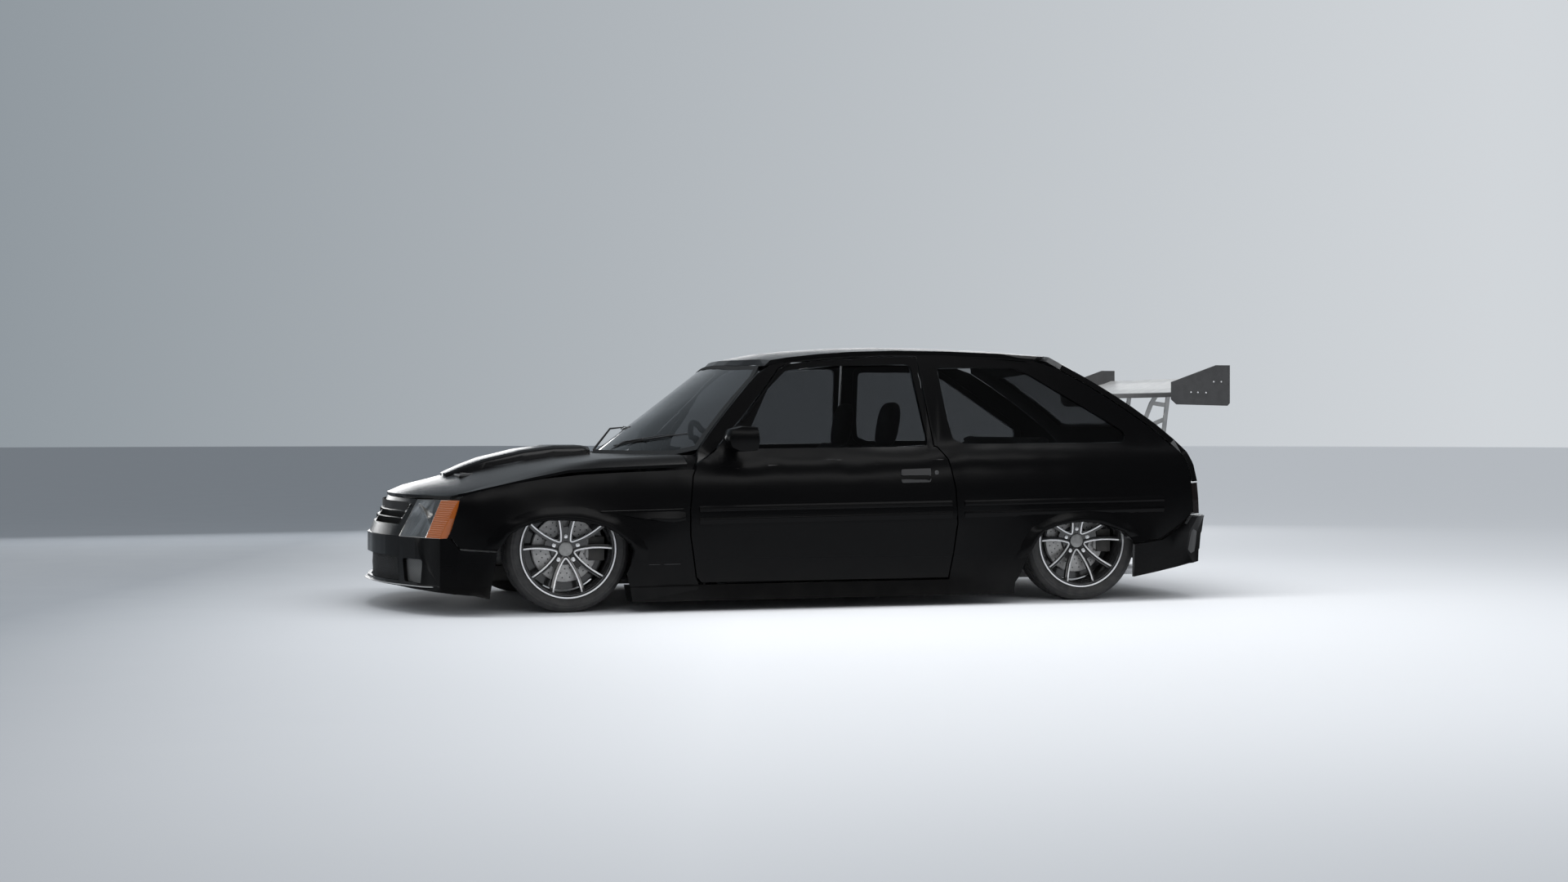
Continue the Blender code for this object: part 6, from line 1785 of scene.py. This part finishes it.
class HatchbackPaint(bpy.types.PropertyGroup):
    """Colours of the paint and the glass"""
    colour: FloatVectorProperty(
        name="Paint colour", description="Colour of the body's gloss paint",
        default=(0.0022, 0.0022, 0.0024), size=3, min=0.0, max=1.0, subtype="COLOR")
    roughness: FloatProperty(
        name="Paint roughness", description="Roughness of the paint's surface",
        default=0.24, min=0.0, max=1.0, subtype="FACTOR")
    gloss: FloatProperty(
        name="Paint gloss", description="How strongly the paint reflects when seen squarely",
        default=0.085, min=0.0, max=1.0, subtype="FACTOR")
    glass: FloatVectorProperty(
        name="Glass tint", description="Tint of the windows",
        default=(0.265, 0.271, 0.278), size=3, min=0.0, max=1.0, subtype="COLOR")


class HatchbackWheels(bpy.types.PropertyGroup):
    """Sizes of the tyres' tread"""
    groove_depth: FloatProperty(
        name="Groove depth", description="Depth of the grooves round the tread",
        default=0.006, min=0.001, max=0.009, unit="LENGTH")
    groove_width: FloatProperty(
        name="Groove width", description="Width of the grooves round the tread",
        default=0.008, min=0.002, max=0.014, unit="LENGTH")


class HatchbackStudio(bpy.types.PropertyGroup):
    """Light, backdrop and camera"""
    light: FloatProperty(
        name="Light", description="Level of the soft lights", default=1.0, min=0.0, max=5.0)
    ambient: FloatProperty(
        name="Ambient", description="Level of the light from all round", default=0.78, min=0.0,
        max=3.0)
    floor: FloatVectorProperty(
        name="Floor", description="Colour of the floor", default=(0.72, 0.73, 0.75), size=3,
        min=0.0, max=1.0, subtype="COLOR")
    # Painted shade: the floor darkens to this colour beyond the nose
    floor_shade: FloatVectorProperty(
        name="Floor left", description="Colour of the floor beyond the nose",
        default=(0.25, 0.27, 0.295), size=3, min=0.0, max=1.0, subtype="COLOR")
    # Painted shade: the backdrop darkens to this colour behind the nose
    backdrop_shade: FloatVectorProperty(
        name="Backdrop left", description="Backdrop's colour behind the nose",
        default=(0.265, 0.300, 0.330), size=3, min=0.0, max=1.0, subtype="COLOR")
    sky: FloatVectorProperty(
        name="Backdrop right", description="Backdrop's colour behind the tail",
        default=(0.640, 0.670, 0.700), size=3, min=0.0, max=1.0, subtype="COLOR")
    lens: FloatProperty(
        name="Lens", description="Focal length of the camera", default=51.975, min=10.0,
        max=300.0, unit="CAMERA")


OPERATORS = (
    HATCHBACK_OT_body_panels,
    HATCHBACK_OT_side_trim,
    HATCHBACK_OT_windows,
    HATCHBACK_OT_front_lamps,
    HATCHBACK_OT_grille,
    HATCHBACK_OT_tail,
    HATCHBACK_OT_front_trim,
    HATCHBACK_OT_wheels,
    HATCHBACK_OT_brakes,
    HATCHBACK_OT_mirrors,
    HATCHBACK_OT_rear_wing,
    HATCHBACK_OT_cabin,
    HATCHBACK_OT_underside,
    HATCHBACK_OT_studio,
)
SETTINGS = {
    "hatchback_paint": HatchbackPaint,
    "hatchback_wheels": HatchbackWheels,
    "hatchback_studio": HatchbackStudio,
}


class HATCHBACK_PT_build(bpy.types.Panel):
    """Lists the steps that dress the car, and their settings"""
    bl_idname = "HATCHBACK_PT_build"
    bl_label = "Hatchback"
    bl_space_type = "VIEW_3D"
    bl_region_type = "UI"
    bl_category = "Hatchback"

    def draw(self, context):
        for name, group in SETTINGS.items():
            box = self.layout.box()
            for label in group.__annotations__:
                box.prop(getattr(context.scene, name), label)
        for operator in OPERATORS:
            self.layout.operator(operator.bl_idname)


def register():
    for group in (*SETTINGS.values(), *OPERATORS, HATCHBACK_PT_build):
        bpy.utils.register_class(group)
    for name, group in SETTINGS.items():
        setattr(bpy.types.Scene, name, PointerProperty(type=group))


def unregister():
    for name in SETTINGS:
        delattr(bpy.types.Scene, name)
    for group in (HATCHBACK_PT_build, *reversed(OPERATORS), *reversed(SETTINGS.values())):
        bpy.utils.unregister_class(group)


def main():
    register()
    for operator in OPERATORS:
        family, name = operator.bl_idname.split(".")
        getattr(getattr(bpy.ops, family), name)()


if __name__ == "__main__":
    main()
